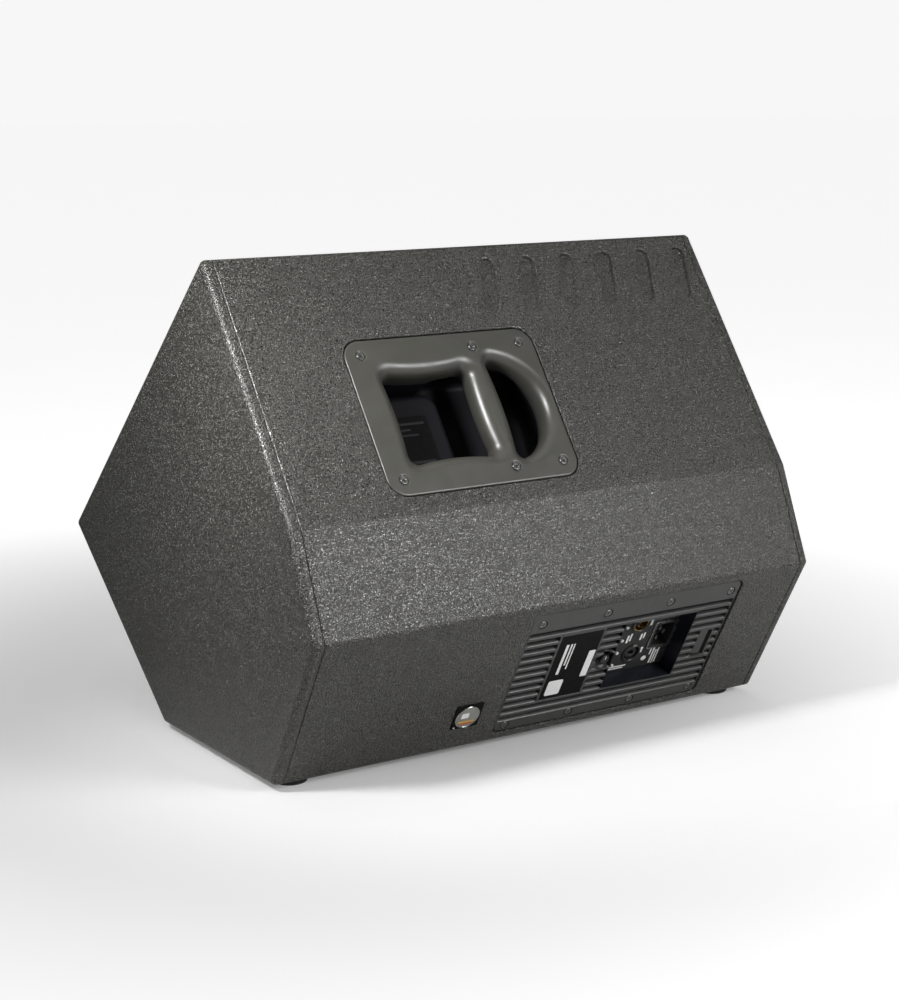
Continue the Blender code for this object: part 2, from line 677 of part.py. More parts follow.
def feet():
    for end, x in (("left", -LENGTH / 2 + FOOT_INSET[0]), ("right", LENGTH / 2 - FOOT_INSET[0])):
        foot(f"foot_rear_{end}", FLOOR_FACE.frame(x, FOOT_INSET[1]), FOOT_RADIUS)
        foot(f"foot_front_{end}", FLOOR_FACE.frame(x, FLOOR_SIDE - FOOT_INSET[1]), FOOT_RADIUS)


# ---------------------------------------------------------------- handle


def bowed(start, end, bow, steps=6):
    """Points from start towards end on a shallow arc that bows to the left of the way there, without end."""
    ahead = Vector(end) - Vector(start)
    side = Vector((-ahead.y, ahead.x)).normalized()
    points = []
    for k in range(steps):
        t = k / steps
        points.append(tuple(Vector(start) + ahead * t + side * (4 * bow * t * (1 - t))))
    return points


def pocket_outline(by=0.0):
    """The squarish hand pocket, its four sides bowed in."""
    xs, ys = grown(POCKET_X, by), grown(POCKET_Y, by)
    corner, bow = 14 * MM, 4.5 * MM
    outline = []
    centres = [(xs[0] + corner, ys[0] + corner), (xs[1] - corner, ys[0] + corner),
               (xs[1] - corner, ys[1] - corner), (xs[0] + corner, ys[1] - corner)]
    for number, centre in enumerate(centres):
        start = 180 + 90 * number
        corner_points = arc(centre, corner, start, start + 90, 4)
        outline += corner_points
        following = centres[(number + 1) % 4]
        next_start = arc(following, corner, start + 90, start + 90, 1)[0]
        outline += bowed(corner_points[-1], next_start, bow)[1:]
    return outline


def crescent_outline(by=0.0):
    """The finger pocket: a near-straight side by the grip and a round one away from it."""
    low, high = POCKET_Y[0] - by, POCKET_Y[1] + 3 * MM + by
    left, right = CRESCENT_X[0] - by, CRESCENT_X[1] + by
    middle = (low + high) / 2
    corner = 13 * MM
    top = arc((left + corner, low + corner), corner, 180, 290, 5)
    foot_arc = arc((left + corner, high - corner), corner, 70, 180, 5)
    bulge = []
    start, end = Vector(top[-1]), Vector(foot_arc[0])
    half = (end.y - start.y) / 2
    rise = right - start.x
    radius = (half**2 + rise**2) / (2 * rise)
    centre = (right - radius, middle)
    reach = math.degrees(math.asin(half / radius))
    if rise > radius:
        reach = 180 - reach
    bulge = arc(centre, radius, -reach, reach, 12)[1:-1]
    return top + bulge + foot_arc


def handle():
    frame = HANDLE_FACE.frame()
    face, back = HANDLE_SINK, HANDLE_SINK + HANDLE_PLATE
    holes = [circle(place, SCREW_HOLE, 8) for place in grid(HANDLE_SCREWS_X, HANDLE_SCREWS_Y)]
    outer = rounded_rect(HANDLE_X, HANDLE_Y, HANDLE_CORNER, 6)
    body = slab("handle_cup", [outer, *holes], (face, CUP_DEPTH), frame, HANDLE_CAST)
    around_cup = [rect(grown(HANDLE_X, 5 * MM), grown(HANDLE_Y, 5 * MM)), cup_hull(CUP_WALL)]
    boolean(body, slab("handle_underside", around_cup, (back, CUP_DEPTH + MM), frame))
    boolean(body, slab("pocket_mouth", [pocket_outline()], (-MM, LEDGE_DEPTH), frame))
    boolean(body, slab("crescent_mouth", [crescent_outline()], (-MM, LEDGE_DEPTH), frame))
    floor = CUP_DEPTH - CUP_WALL
    hollow_x = (LEDGE_X, CRESCENT_X[1] - 6 * MM)
    hollow = rounded_rect(hollow_x, grown(POCKET_Y, -1 * MM), 12 * MM)
    boolean(body, slab("finger_space", [hollow], (GRIP_DEPTH, floor), frame))
    seats = grid(HANDLE_SCREWS_X, HANDLE_SCREWS_Y)
    boolean(body, seat_cutter("handle_screw_seats", seats, (-MM, face + SEAT_DEPTH), frame))


# ---------------------------------------------------------------- amplifier module


def bay_outline():
    """The connector bay: a rectangle with a round bite for the knob in its near side."""
    reach = math.degrees(math.acos((BAY_X[0] - KNOB_AT[0]) / KNOB_BAY_RADIUS))
    bite = arc(KNOB_AT, KNOB_BAY_RADIUS, reach, 360 - reach, 12)
    return [(BAY_X[0], BAY_Y[0]), (BAY_X[1], BAY_Y[0]), (BAY_X[1], BAY_Y[1]), (BAY_X[0], BAY_Y[1])] + bite


def rib_slots():
    """The grooves between the ribs, with the label, the bay and the plain pad left out."""
    left, right = RIB_ENDS
    inset = RIB_SLOT / 2
    full_rows = (0, RIB_ROWS - 2, RIB_ROWS - 1)
    pad_rows = range(4, 8)
    pad = (192 * MM, 211.5 * MM)
    slots = []
    for row in range(RIB_ROWS):
        y = RIB_FIRST + row * RIB_PITCH
        spans = [(left, LABEL_X[0] - 3.5 * MM), (LABEL_X[1] + 5 * MM, BAY_X[0] + 8 * MM)]
        if row in full_rows:
            spans = [(left, right)]
        elif row in pad_rows:
            spans += [(BAY_X[1] + 3 * MM, pad[0]), (pad[1], right)]
        else:
            spans += [(BAY_X[1] + 3 * MM, right)]
        slots += [pill((a + inset, y), (b - inset, y), RIB_SLOT) for a, b in spans]
    return slots


def pad_groove():
    """The L-shaped groove beside the plain pad."""
    bottom = RIB_FIRST + 7 * RIB_PITCH + RIB_SLOT / 2
    tall_x, wide_x = (203.5 * MM, 208.5 * MM), 194 * MM
    top = 80.5 * MM
    return [
        (tall_x[0], top), (tall_x[1], top), (tall_x[1], bottom), (wide_x, bottom),
        (wide_x, bottom - RIB_SLOT), (tall_x[0], bottom - RIB_SLOT),
    ]


def amp_plate():
    frame = REAR_FACE.frame()
    outer = rounded_rect(AMP_X, AMP_Y, 7 * MM)
    holes = [circle(place, SCREW_HOLE, 8) for place in grid(AMP_SCREWS_X, AMP_SCREWS_Y)]
    body = slab("amp_plate", [outer, bay_outline(), *holes], (AMP_SINK, BAY_DEPTH), frame, AMP_CAST)
    beyond = rect(grown(AMP_X, 5 * MM), grown(AMP_Y, 5 * MM))
    flange_back = AMP_SINK + AMP_FLANGE
    core = rect(AMP_CORE_X, AMP_CORE_Y)
    boolean(body, slab("flange_underside", [beyond, core], (flange_back, BAY_DEPTH + MM), frame))
    skirt = rect((KNOB_AT[0] - 15 * MM, BAY_X[1] + 3 * MM), grown(BAY_Y, 3 * MM))
    boolean(body, slab("core_underside", [beyond, skirt], (AMP_CORE_DEPTH, BAY_DEPTH + MM), frame))
    boolean(body, slab("rib_grooves", rib_slots(), (-MM, RIB_DEPTH), frame))
    boolean(body, slab("pad_groove", [pad_groove()], (-MM, RIB_DEPTH), frame))
    pocket = rect(LABEL_X, LABEL_Y)
    boolean(body, slab("label_pocket", [pocket], (-MM, AMP_SINK + 1.1 * MM), frame))
    seats = grid(AMP_SCREWS_X, AMP_SCREWS_Y)
    boolean(body, seat_cutter("amp_screw_seats", seats, (-MM, AMP_SINK + SEAT_DEPTH), frame))
    label = rounded_rect(grown(LABEL_X, -GAP), grown(LABEL_Y, -GAP), 1 * MM, 2)
    slab("label_plate", [label], (AMP_SINK + 0.2 * MM, AMP_SINK + 0.8 * MM), frame, GLOSS_LABEL)


def connector_bay():
    frame = REAR_FACE.frame()
    face = BAY_DEPTH + GAP
    back = face + CONNECTOR_PANEL
    plate = rect((KNOB_AT[0] - 15 * MM, BAY_X[1] + 3 * MM), grown(BAY_Y, 3 * MM))
    holes = [circle(at, SOCKET_RADIUS + GAP) for at in (INPUT_AT, LINK_AT)]
    holes.append(circle(KNOB_AT, 3.8 * MM, 12))
    holes.append(rect(grown(INLET_X, GAP), grown(INLET_Y, GAP)))
    holes += [circle((LIGHTS_X, y), 2.2 * MM, 12) for y in LIGHTS_Y]
    slab("connector_panel", [plate, *holes], (face, back), frame, PANEL_METAL)

    proud = face - 1.8 * MM
    end = BOARD_DEPTH - GAP
    well = [
        (0, end), (SOCKET_RADIUS, end), (SOCKET_RADIUS, proud), (9.2 * MM, proud),
        (9.2 * MM, proud + 17 * MM), (7.2 * MM, proud + 17 * MM), (7.2 * MM, proud + 7 * MM),
        (3.3 * MM, proud + 7 * MM), (3.3 * MM, proud + 17 * MM), (0, proud + 17 * MM),
    ]
    turned("input_socket", well, REAR_FACE.frame(*INPUT_AT), BLACK_PLASTIC, 24)
    well = [
        (0, proud + 14 * MM), (9.2 * MM, proud + 14 * MM), (9.2 * MM, proud), (SOCKET_RADIUS, proud),
        (SOCKET_RADIUS, end), (0, end),
    ]
    link = turned("link_socket", well, REAR_FACE.frame(*LINK_AT), BLACK_PLASTIC, 24)
    spots = ((0, 4.8 * MM), (-4.2 * MM, -2.4 * MM), (4.2 * MM, -2.4 * MM))
    pins = [circle(spot, 1.2 * MM, 8) for spot in spots]
    pin_tool = slab("link_pins", pins, (proud + 3 * MM, proud + 15 * MM), REAR_FACE.frame(*LINK_AT))
    boolean(link, pin_tool, "UNION")

    middle = ((INLET_X[0] + INLET_X[1]) / 2, (INLET_Y[0] + INLET_Y[1]) / 2)
    inlet = slab("mains_inlet", [rect(INLET_X, INLET_Y)], (proud, end), frame, BLACK_PLASTIC)
    mouth = around(middle, (24 * MM, 31 * MM))
    well_tool = rounded_rect(*mouth, 4 * MM, 2)
    boolean(inlet, slab("inlet_well", [well_tool], (proud - MM, proud + 16 * MM), frame))
    blades = [rect(*around((middle[0] + dx, middle[1] + dy), (2 * MM, 6 * MM)))
              for dx, dy in ((3 * MM, 0), (-4 * MM, -7 * MM), (-4 * MM, 7 * MM))]
    blade_tool = slab("inlet_blades", blades, (proud + 4 * MM, proud + 17 * MM), frame)
    boolean(inlet, blade_tool, "UNION")

    bar = rect((LIGHTS_X - 3 * MM, LIGHTS_X + 3 * MM), grown((LIGHTS_Y[0], LIGHTS_Y[-1]), 4 * MM))
    strip = slab("light_pipe", [bar], (back + GAP, back + 3 * MM), frame, LENS)
    lenses = [circle((LIGHTS_X, y), 1.8 * MM, 10) for y in LIGHTS_Y]
    boolean(strip, slab("light_lenses", lenses, (face - 1 * MM, back + 2 * MM), frame), "UNION")

    knob_top = 4 * MM
    skirt = 6.6 * MM
    knob = [
        (0, knob_top), (5 * MM, knob_top), (5.8 * MM, knob_top + 0.8 * MM),
        (skirt, 20 * MM), (skirt, face - GAP),
        (3.2 * MM, face - GAP), (3.2 * MM, 8 * MM), (0, 8 * MM),
    ]
    turned("gain_knob", knob, REAR_FACE.frame(*KNOB_AT), BLACK_PLASTIC, 24)
    pot = [
        (0, 8 * MM + GAP), (2.9 * MM, 8 * MM + GAP), (2.9 * MM, back + MM), (8 * MM, back + MM),
        (8 * MM, end), (0, end),
    ]
    turned("gain_pot", pot, REAR_FACE.frame(*KNOB_AT), SHEET_STEEL, 20)


def electronics():
    frame = REAR_FACE.frame()
    wall = 2 * MM
    outer_x, outer_y = grown(AMP_CORE_X, -1 * MM), grown(AMP_CORE_Y, -1 * MM)
    front_edge = AMP_CORE_DEPTH + GAP
    box = slab("amp_housing", [rect(outer_x, outer_y)], (front_edge, HOUSING_DEPTH), frame, SHEET_STEEL)
    hollow = rect(grown(outer_x, -wall), grown(outer_y, -wall))
    boolean(box, slab("housing_hollow", [hollow], (front_edge - MM, HOUSING_DEPTH - wall), frame))
    board = rect(grown(outer_x, -8 * MM), grown(outer_y, -6 * MM))
    slab("circuit_board", [board], (BOARD_DEPTH, BOARD_DEPTH + 1.6 * MM), frame, CIRCUIT)
    supply = rounded_rect((10 * MM, 150 * MM), (50 * MM, 145 * MM), 5 * MM, 2)
    top = BOARD_DEPTH + 1.6 * MM + GAP
    slab("power_supply", [supply], (top, HOUSING_DEPTH - wall - GAP), frame, SHEET_STEEL)


def badge():
    frame = REAR_FACE.frame()
    plate = rounded_rect(BADGE_X, BADGE_Y, 2 * MM, 3)
    slab("seal_badge", [plate], (-GAP - 0.8 * MM, -GAP), frame, GLOSS_LABEL)


def leads():
    """The woofer's and the horn driver's leads, from the amplifier housing to their terminals."""
    def rear(x, along, depth):
        return REAR_FACE.frame(x, along, depth).to_translation()

    def inside(x, along, depth):
        return BAFFLE_FACE.frame(x, along, depth).to_translation()

    out = HOUSING_DEPTH + 0.5 * MM
    stops = [
        rear(170 * MM, 80 * MM, out), rear(170 * MM, 80 * MM, out + 30 * MM),
        inside(190 * MM, BAFFLE_MIDDLE + 60 * MM, 190 * MM),
        inside(200 * MM, BAFFLE_MIDDLE + 30 * MM, 130 * MM),
    ]
    tube("woofer_lead", smooth_route(stops), 2.5 * MM, BLACK_PLASTIC)
    stops = [
        rear(-20 * MM, 80 * MM, out), rear(-25 * MM, 80 * MM, out + 30 * MM),
        inside(-110 * MM, BAFFLE_MIDDLE + 40 * MM, 230 * MM),
        inside(HORN_X + 10 * MM, BAFFLE_MIDDLE, 232 * MM), inside(HORN_X + 10 * MM, BAFFLE_MIDDLE, 206 * MM),
    ]
    tube("hf_lead", smooth_route(stops), 2.5 * MM, BLACK_PLASTIC)


cabinet()
end_panel("end_panel_left", -LENGTH / 2)
end_panel("end_panel_right", LENGTH / 2)
front()
woofer()
horn()
ports()
handle()
screws()
feet()
amp_plate()
connector_bay()
electronics()
badge()
leads()
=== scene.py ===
"""The looks of the stage monitor wedge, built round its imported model."""

import math

import bmesh
import bpy
import numpy as np
from mathutils import Matrix, Vector


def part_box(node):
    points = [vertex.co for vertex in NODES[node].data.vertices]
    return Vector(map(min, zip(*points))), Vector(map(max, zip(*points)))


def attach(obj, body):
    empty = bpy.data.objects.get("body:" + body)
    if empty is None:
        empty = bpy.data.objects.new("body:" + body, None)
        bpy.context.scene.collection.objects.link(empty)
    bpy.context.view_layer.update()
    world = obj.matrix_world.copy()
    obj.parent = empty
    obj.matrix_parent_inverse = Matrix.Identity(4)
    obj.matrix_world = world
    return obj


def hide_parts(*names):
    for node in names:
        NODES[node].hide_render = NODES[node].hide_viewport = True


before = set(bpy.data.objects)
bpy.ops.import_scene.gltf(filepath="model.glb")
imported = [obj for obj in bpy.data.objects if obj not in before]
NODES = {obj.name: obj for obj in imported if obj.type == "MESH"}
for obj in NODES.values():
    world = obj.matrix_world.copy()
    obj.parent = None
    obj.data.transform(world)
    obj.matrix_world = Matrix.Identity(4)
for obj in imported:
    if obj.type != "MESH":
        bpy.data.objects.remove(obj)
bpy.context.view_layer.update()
MM = 0.001
BODY = "cabinet"

bpy.context.scene.view_settings.view_transform = "Standard"


# ---------------- the cabinet's sides, read from the frame


def cabinet_corners():
    """The six corners of the cabinet's end, from the inner face of the left end panel."""
    points = np.array([v.co for v in NODES["end_panel_left"].data.vertices])
    inner = points[points[:, 0] > points[:, 0].max() - 0.1 * MM][:, 1:]
    corners = np.unique(np.round(inner, 5), axis=0)
    middle = corners.mean(axis=0)
    corners = sorted(corners, key=lambda c: math.atan2(c[1] - middle[1], c[0] - middle[0]))
    top = max(range(len(corners)), key=lambda k: corners[k][1])
    return [Vector(corners[(top + k) % len(corners)]) for k in range(len(corners))]


CORNERS = cabinet_corners()


class Side:
    """A long flat side: x along the cabinet, y along the side, z into the cabinet."""

    def __init__(self, number):
        self.start = CORNERS[number]
        self.end = CORNERS[(number + 1) % len(CORNERS)]
        self.along = (self.end - self.start).normalized()
        self.inward = Vector((-self.along.y, self.along.x))
        columns = ((1, 0, 0), (0, *self.along), (0, *self.inward))
        self.matrix = Matrix.Translation((0, *self.start)) @ Matrix(columns).transposed().to_4x4()

    def spans(self, node):
        """A CAD node's extent in x, y and z in this side's own frame."""
        turned = self.matrix.inverted()
        points = np.array([turned @ v.co for v in NODES[node].data.vertices])
        return tuple(zip(Vector(points.min(axis=0)), Vector(points.max(axis=0))))


HANDLE, CHAMFER, REAR, FLOOR, FRONT, BAFFLE = (Side(n) for n in range(6))


# ---------------- materials


NOISE_RANGE = (0.3, 0.7)


def new_node(tree, kind, wires=None, values=None, **settings):
    """A node with its properties set, its sockets wired to others or given a value."""
    node = tree.nodes.new("ShaderNode" + kind)
    for key, value in settings.items():
        setattr(node, key, value)
    for key, source in (wires or {}).items():
        tree.links.new(source, node.inputs[key])
    for key, value in (values or {}).items():
        node.inputs[key].default_value = value
    return node


class Look:
    """A Principled material with helpers for procedural detail in object space. Sizes are in millimetres."""

    def __init__(self, name, colour, roughness, metallic=0.0, specular=0.5):
        self.material = bpy.data.materials.new(name)
        self.material.use_nodes = True
        self.material.diffuse_color = (*colour, 1)
        self.tree = self.material.node_tree
        self.shader = self.tree.nodes["Principled BSDF"]
        for key, value in (("Base Color", (*colour, 1)), ("Roughness", roughness), ("Metallic", metallic),
                           ("Specular IOR Level", specular)):
            self.shader.inputs[key].default_value = value
        self.colour = colour
        self.place = self.node("TexCoord").outputs["Object"]
        self.last_bump = None

    def node(self, kind, wires=None, values=None, **settings):
        return new_node(self.tree, kind, wires, values, **settings)

    def drive(self, key, source):
        self.tree.links.new(source, self.shader.inputs[key])

    def noise(self, size, detail=3.0, rough=0.5, stretch=None):
        place = self.place
        if stretch:
            place = self.node("Mapping", {"Vector": place}, {"Scale": stretch}).outputs["Vector"]
        values = {"Scale": 1 / (size * MM), "Detail": detail, "Roughness": rough}
        return self.node("TexNoise", {"Vector": place}, values).outputs["Fac"]

    def pattern(self, *numbers):
        """Noise from its size and any detail, roughness and stretch, or cells from ("cells", size, reach)."""
        if numbers[0] != "cells":
            return self.noise(*numbers)
        scale = {"Scale": 1 / (numbers[1] * MM)}
        return self.node("TexVoronoi", {"Vector": self.place}, scale).outputs["Distance"]

    def spread(self, *numbers):
        """A pattern spread over 0 to 1."""
        low, high = (0, numbers[2]) if numbers[0] == "cells" else NOISE_RANGE
        return self.remap(self.pattern(*numbers), low, high, 0, 1)

    def remap(self, value, low, high, to_low, to_high, kind="LINEAR"):
        ends = {"From Min": low, "From Max": high, "To Min": to_low, "To Max": to_high}
        return self.node("MapRange", {"Value": value}, ends, interpolation_type=kind).outputs["Result"]

    def bump(self, value, height, strength=1.0):
        """Adds relief of this height on top of any that is there."""
        wires = {"Height": value}
        if self.last_bump:
            wires["Normal"] = self.last_bump
        relief = self.node("Bump", wires, {"Strength": strength, "Distance": height * MM})
        self.last_bump = relief.outputs["Normal"]
        self.drive("Normal", self.last_bump)

    def tint(self, value, low, high):
        """Scales the base colour between two factors as the value goes from 0 to 1."""
        mix = self.node("Mix", data_type="RGBA")
        self.tree.links.new(value, mix.inputs["Factor"])
        colours = [(*(c * f for c in self.colour), 1) for f in (low, high)]
        mix.inputs["A"].default_value, mix.inputs["B"].default_value = colours
        self.drive("Base Color", mix.outputs["Result"])

    def vary_roughness(self, value, low, high):
        self.drive("Roughness", self.remap(value, *NOISE_RANGE, low, high))

    def depth(self, side):
        """How far below a side of the cabinet, in metres."""
        axis = side.matrix.to_3x3() @ Vector((0, 0, 1))
        along = self.node("VectorMath", {0: self.place}, {1: axis}, operation="DOT_PRODUCT")
        start = {1: axis.dot(side.matrix.translation)}
        return self.node("Math", {0: along.outputs["Value"]}, start, operation="SUBTRACT").outputs["Value"]

    def blend(self, value, colour, roughness):
        """Turns into another colour and roughness as the value goes from 0 to 1."""
        for kind, key, goal in (("RGBA", "Base Color", (*colour, 1)), ("FLOAT", "Roughness", roughness)):
            mix = self.node("Mix", data_type=kind)
            factor, first, second = (k for k in mix.inputs if k.enabled)
            self.tree.links.new(value, factor)
            self.tree.links.new(self.shader.inputs[key].links[0].from_socket, first)
            second.default_value = goal
            self.drive(key, next(k for k in mix.outputs if k.enabled))


# Each look's name, colour, roughness, metallic and specular, then the pattern and factors of its colour
# change, the pattern, height in millimetres and strength of each relief, and the pattern and range of its
# roughness.
LOOK_TABLE = {
    "handle": (("satin_casting", (0.046, 0.045, 0.038), 0.36, 0.0, 0.7), ((40,), 0.93, 1.06),
               (((0.5, 2), 0.03, 0.5), ((18, 2), 0.12, 0.4)), ((12,), 0.33, 0.42)),
    # A near-black look for the handle cup's deepest faces: painted shade.
    "recess": (("recess_painted_shade", (0.005, 0.005, 0.007), 0.55, 0.0, 0.12), ((30,), 0.85, 1.15),
               (((0.5, 2), 0.03, 0.5),), ((12,), 0.48, 0.6)),
    "amp": (("ribbed_casting", (0.0275, 0.0275, 0.026), 0.36, 0.0, 0.7), ((25,), 0.94, 1.05),
            (((0.6, 2), 0.04, 0.5),), ((8,), 0.32, 0.44)),
    "panel": (("connector_panel_paint", (0.022, 0.022, 0.021), 0.5, 0.0, 0.35), ((15,), 0.9, 1.08),
              (((0.7, 2), 0.04, 0.6),), ((5,), 0.42, 0.58)),
    "liner": (("bay_liner", (0.006, 0.007, 0.011), 0.42, 0.0, 0.25), ((20,), 0.85, 1.15),
              (((0.6, 2), 0.03, 0.5),), ((9,), 0.32, 0.46)),
    "screw": (("dark_screw_steel", (0.16, 0.16, 0.155), 0.3, 0.8), ((1.2,), 0.75, 1.25),
              (((0.4, 2), 0.02, 0.6),), ((1.5,), 0.22, 0.42)),
    "plastic": (("black_moulding", (0.014, 0.014, 0.015), 0.42), ((10,), 0.8, 1.25),
                (((0.35, 2), 0.02, 0.6),), ((4,), 0.34, 0.5)),
    "label": (("black_film", (0.003, 0.003, 0.003), 0.45, 0.0, 0.08), ((6,), 0.8, 1.2),
              (((9, 2), 0.04, 0.3),), ((7,), 0.4, 0.5)),
    "print": (("white_print", (0.78, 0.78, 0.77), 0.5), ((1.2,), 0.88, 1.05),
              (((0.4,), 0.01, 0.5),), ((2,), 0.42, 0.6)),
    "faint": (("faint_print", (0.020, 0.020, 0.022), 0.45, 0.0, 0.2), ((2,), 0.85, 1.15), (), ((4,), 0.3, 0.5)),
    "gold": (("gold_contact", (0.72, 0.46, 0.16), 0.25, 1.0), ((1,), 0.8, 1.1), (((0.5,), 0.01, 0.5),), None),
    "nickel": (("nickel_plate", (0.42, 0.42, 0.40), 0.28, 1.0), ((2,), 0.85, 1.1),
               (((0.8,), 0.015, 0.5),), ((2.5,), 0.2, 0.38)),
    "rubber": (("moulded_rubber", (0.018, 0.018, 0.018), 0.78), ((4,), 0.8, 1.3),
               (((0.8, 3), 0.06, 0.8),), ((3,), 0.7, 0.88)),
    "grille": (("grille_powder_coat", (0.016, 0.016, 0.016), 0.45, 0.0, 0.6), ((8,), 0.85, 1.2),
               (((0.5,), 0.03, 0.7),), ((3,), 0.38, 0.55)),
    "foam": (("open_cell_foam", (0.010, 0.010, 0.010), 0.95), (("cells", 1.1, 0.6), 0.5, 1.8),
             ((("cells", 1.1), 0.7, 1.0),), None),
    "ferrite": (("sintered_ferrite", (0.045, 0.045, 0.05), 0.6), ((2, 5), 0.7, 1.3),
                (((1.2, 5), 0.12, 0.8),), ((5,), 0.5, 0.75)),
    "paper": (("pressed_paper", (0.028, 0.027, 0.025), 0.8), ((1.5, 5), 0.7, 1.4),
              (((1.2, 6, 0.7), 0.15, 0.9),), None),
    "zinc": (("zinc_plate", (0.46, 0.46, 0.44), 0.38, 1.0), (("cells", 9, 0.7), 0.85, 1.1),
             (((1.5,), 0.03, 0.6),), ((6,), 0.3, 0.5)),
    "sheet": (("bare_aluminium_sheet", (0.55, 0.55, 0.56), 0.4, 1.0), ((12,), 0.9, 1.08),
              (((0.5, 3, 0.6, (0.04, 1, 1)), 0.02, 0.7),), ((3, 3, 0.5, (0.05, 1, 1)), 0.3, 0.5)),
    "copper": (("wound_copper", (0.62, 0.26, 0.11), 0.32, 1.0), ((1,), 0.8, 1.1), (((0.4,), 0.05, 0.8),), None),
    "board": (("circuit_laminate", (0.012, 0.085, 0.035), 0.35), (("cells", 5, 0.5), 0.7, 1.3),
              ((("cells", 4), 0.05, 0.5),), ((3,), 0.28, 0.45)),
    "wood": (("black_stained_ply", (0.022, 0.020, 0.018), 0.7), ((3, 5, 0.6, (0.06, 1, 1)), 0.7, 1.5),
             (((1.2, 4, 0.6, (0.06, 1, 1)), 0.15, 0.8),), None),
    "lens": (("light_pipe_lens", (0.75, 0.78, 0.78), 0.18), ((1,), 0.92, 1.03), (((1,), 0.01, 0.4),), None),
}
for key, colour in (("badge_grey", (0.23, 0.23, 0.21)), ("badge_amber", (0.55, 0.36, 0.05)),
                    ("badge_red", (0.42, 0.07, 0.03))):
    LOOK_TABLE[key] = ((key, colour, 0.4), ((1.5,), 0.85, 1.1), (((0.5,), 0.01, 0.5),), None)


def textured_paint():
    """Spray-textured paint: grains half a millimetre high, darkened in their pits and lightened on their tops
    as painted shade and highlight, with pale specks on them that are painted glints.
    """
    paint = Look("textured_paint", (0.0195, 0.0185, 0.0155), 0.32, 0.0, 0.6)
    grain = paint.remap(paint.noise(1.6, 1), 0.34, 0.68, 0, 1, "SMOOTHSTEP")
    # The colour follows the grain: painted shade in its pits, painted highlight on its tops.
    paint.tint(grain, 0.2, 2.5)
    paint.bump(paint.noise(30, 2), 0.3, 0.4)
    paint.bump(grain, 0.5)
    paint.vary_roughness(paint.noise(2.0), 0.22, 0.42)
    # Painted glints: pale, glossy specks blended into the paint's colour.
    paint.blend(paint.remap(paint.noise(1.3, 1), 0.60, 0.70, 0, 1), (0.26, 0.26, 0.24), 0.2)
    return paint


def make_looks():
    looks = {"paint": textured_paint()}
    for key, (basics, tint, reliefs, gloss) in LOOK_TABLE.items():
        look = looks[key] = Look(*basics)
        look.tint(look.spread(*tint[0]), *tint[1:])
        for pattern, height, strength in reliefs:
            look.bump(look.pattern(*pattern), height, strength)
        if gloss:
            look.vary_roughness(look.pattern(*gloss[0]), *gloss[1:])
    # Painted shade: both castings are darkened in their hollows, where shade falls.
    for key, side, start, end, colour, roughness in (
            ("handle", HANDLE, 12, 27, (0.008, 0.008, 0.010), 0.5),
            ("amp", REAR, 2.5, 8, (0.004, 0.004, 0.005), 0.55)):
        look = looks[key]
        look.blend(look.remap(look.depth(side), start * MM, end * MM, 0, 1), colour, roughness)
    return {key: look.material for key, look in looks.items()}


LOOKS = make_looks()


# ---------------- building


def add(name, data):
    item = bpy.data.objects.new(name, data)
    bpy.context.scene.collection.objects.link(item)
    return item


def outward(mesh, weld=0.0):
    """Turns the faces outward, after joining points nearer than the weld distance."""
    shape = bmesh.new()
    shape.from_mesh(mesh)
    if weld:
        bmesh.ops.remove_doubles(shape, verts=shape.verts, dist=weld)
    bmesh.ops.recalc_face_normals(shape, faces=shape.faces)
    shape.to_mesh(mesh)
    shape.free()


def mesh_of(name, verts, faces, matrix=None, weld=0.0):
    mesh = bpy.data.meshes.new(name)
    mesh.from_pydata([tuple(v) for v in verts], [], [tuple(f) for f in faces])
    if matrix is not None:
        mesh.transform(matrix)
    outward(mesh, weld)
    return mesh


def new_piece(name, verts, faces, look, matrix=None, smooth_angle=35, weighted=True, body=BODY):
    """A mesh piece in its finished place, riding on a body."""
    mesh = bpy.data.meshes.new(name)
    mesh.from_pydata([tuple(v) for v in verts], [], [tuple(f) for f in faces])
    mesh.validate()
    return wrap_mesh(name, mesh, look, matrix, smooth_angle, weighted, body)


def wrap_mesh(name, mesh, look, matrix=None, smooth_angle=35, weighted=True, body=BODY):
    """A piece made from a mesh, smooth but for edges sharper than the angle."""
    if matrix is not None:
        mesh.transform(matrix)
    mesh.update()
    mesh.polygons.foreach_set("use_smooth", [True] * len(mesh.polygons))
    mesh.set_sharp_from_angle(angle=math.radians(smooth_angle))
    mesh.materials.clear()
    mesh.materials.append(LOOKS[look])
    item = add(name, mesh)
    if weighted:
        modifier = item.modifiers.new("normals", "WEIGHTED_NORMAL")
        modifier.weight = 100
        modifier.keep_sharp = True
    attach(item, body)
    return item


def arc(centre, radius, start, end, steps):
    angles = [math.radians(start + (end - start) * k / steps) for k in range(steps + 1)]
    return [(centre[0] + radius * math.cos(a), centre[1] + radius * math.sin(a)) for a in angles]


def circle(centre, radius, steps=48):
    return arc(centre, radius, 0, 360, steps)[:-1]


def rounded_rect(xs, ys, radius, steps=8):
    low_x, high_x = xs[0] + radius, xs[1] - radius
    low_y, high_y = ys[0] + radius, ys[1] - radius
    corners = (((low_x, low_y), 180), ((high_x, low_y), 270), ((high_x, high_y), 0), ((low_x, high_y), 90))
    points = []
    for centre, start in corners:
        points += arc(centre, radius, start, start + 90, steps)
    return points


def pill(start, end, width, steps=10):
    heading = math.degrees(math.atan2(end[1] - start[1], end[0] - start[0]))
    tail = arc(start, width / 2, heading + 90, heading + 270, steps)
    return tail + arc(end, width / 2, heading - 90, heading + 90, steps)


def grown(xs, by):
    return xs[0] - by, xs[1] + by


def mm(pair):
    return pair[0] * MM, pair[1] * MM


def in_mm(pair):
    return pair[0] / MM, pair[1] / MM


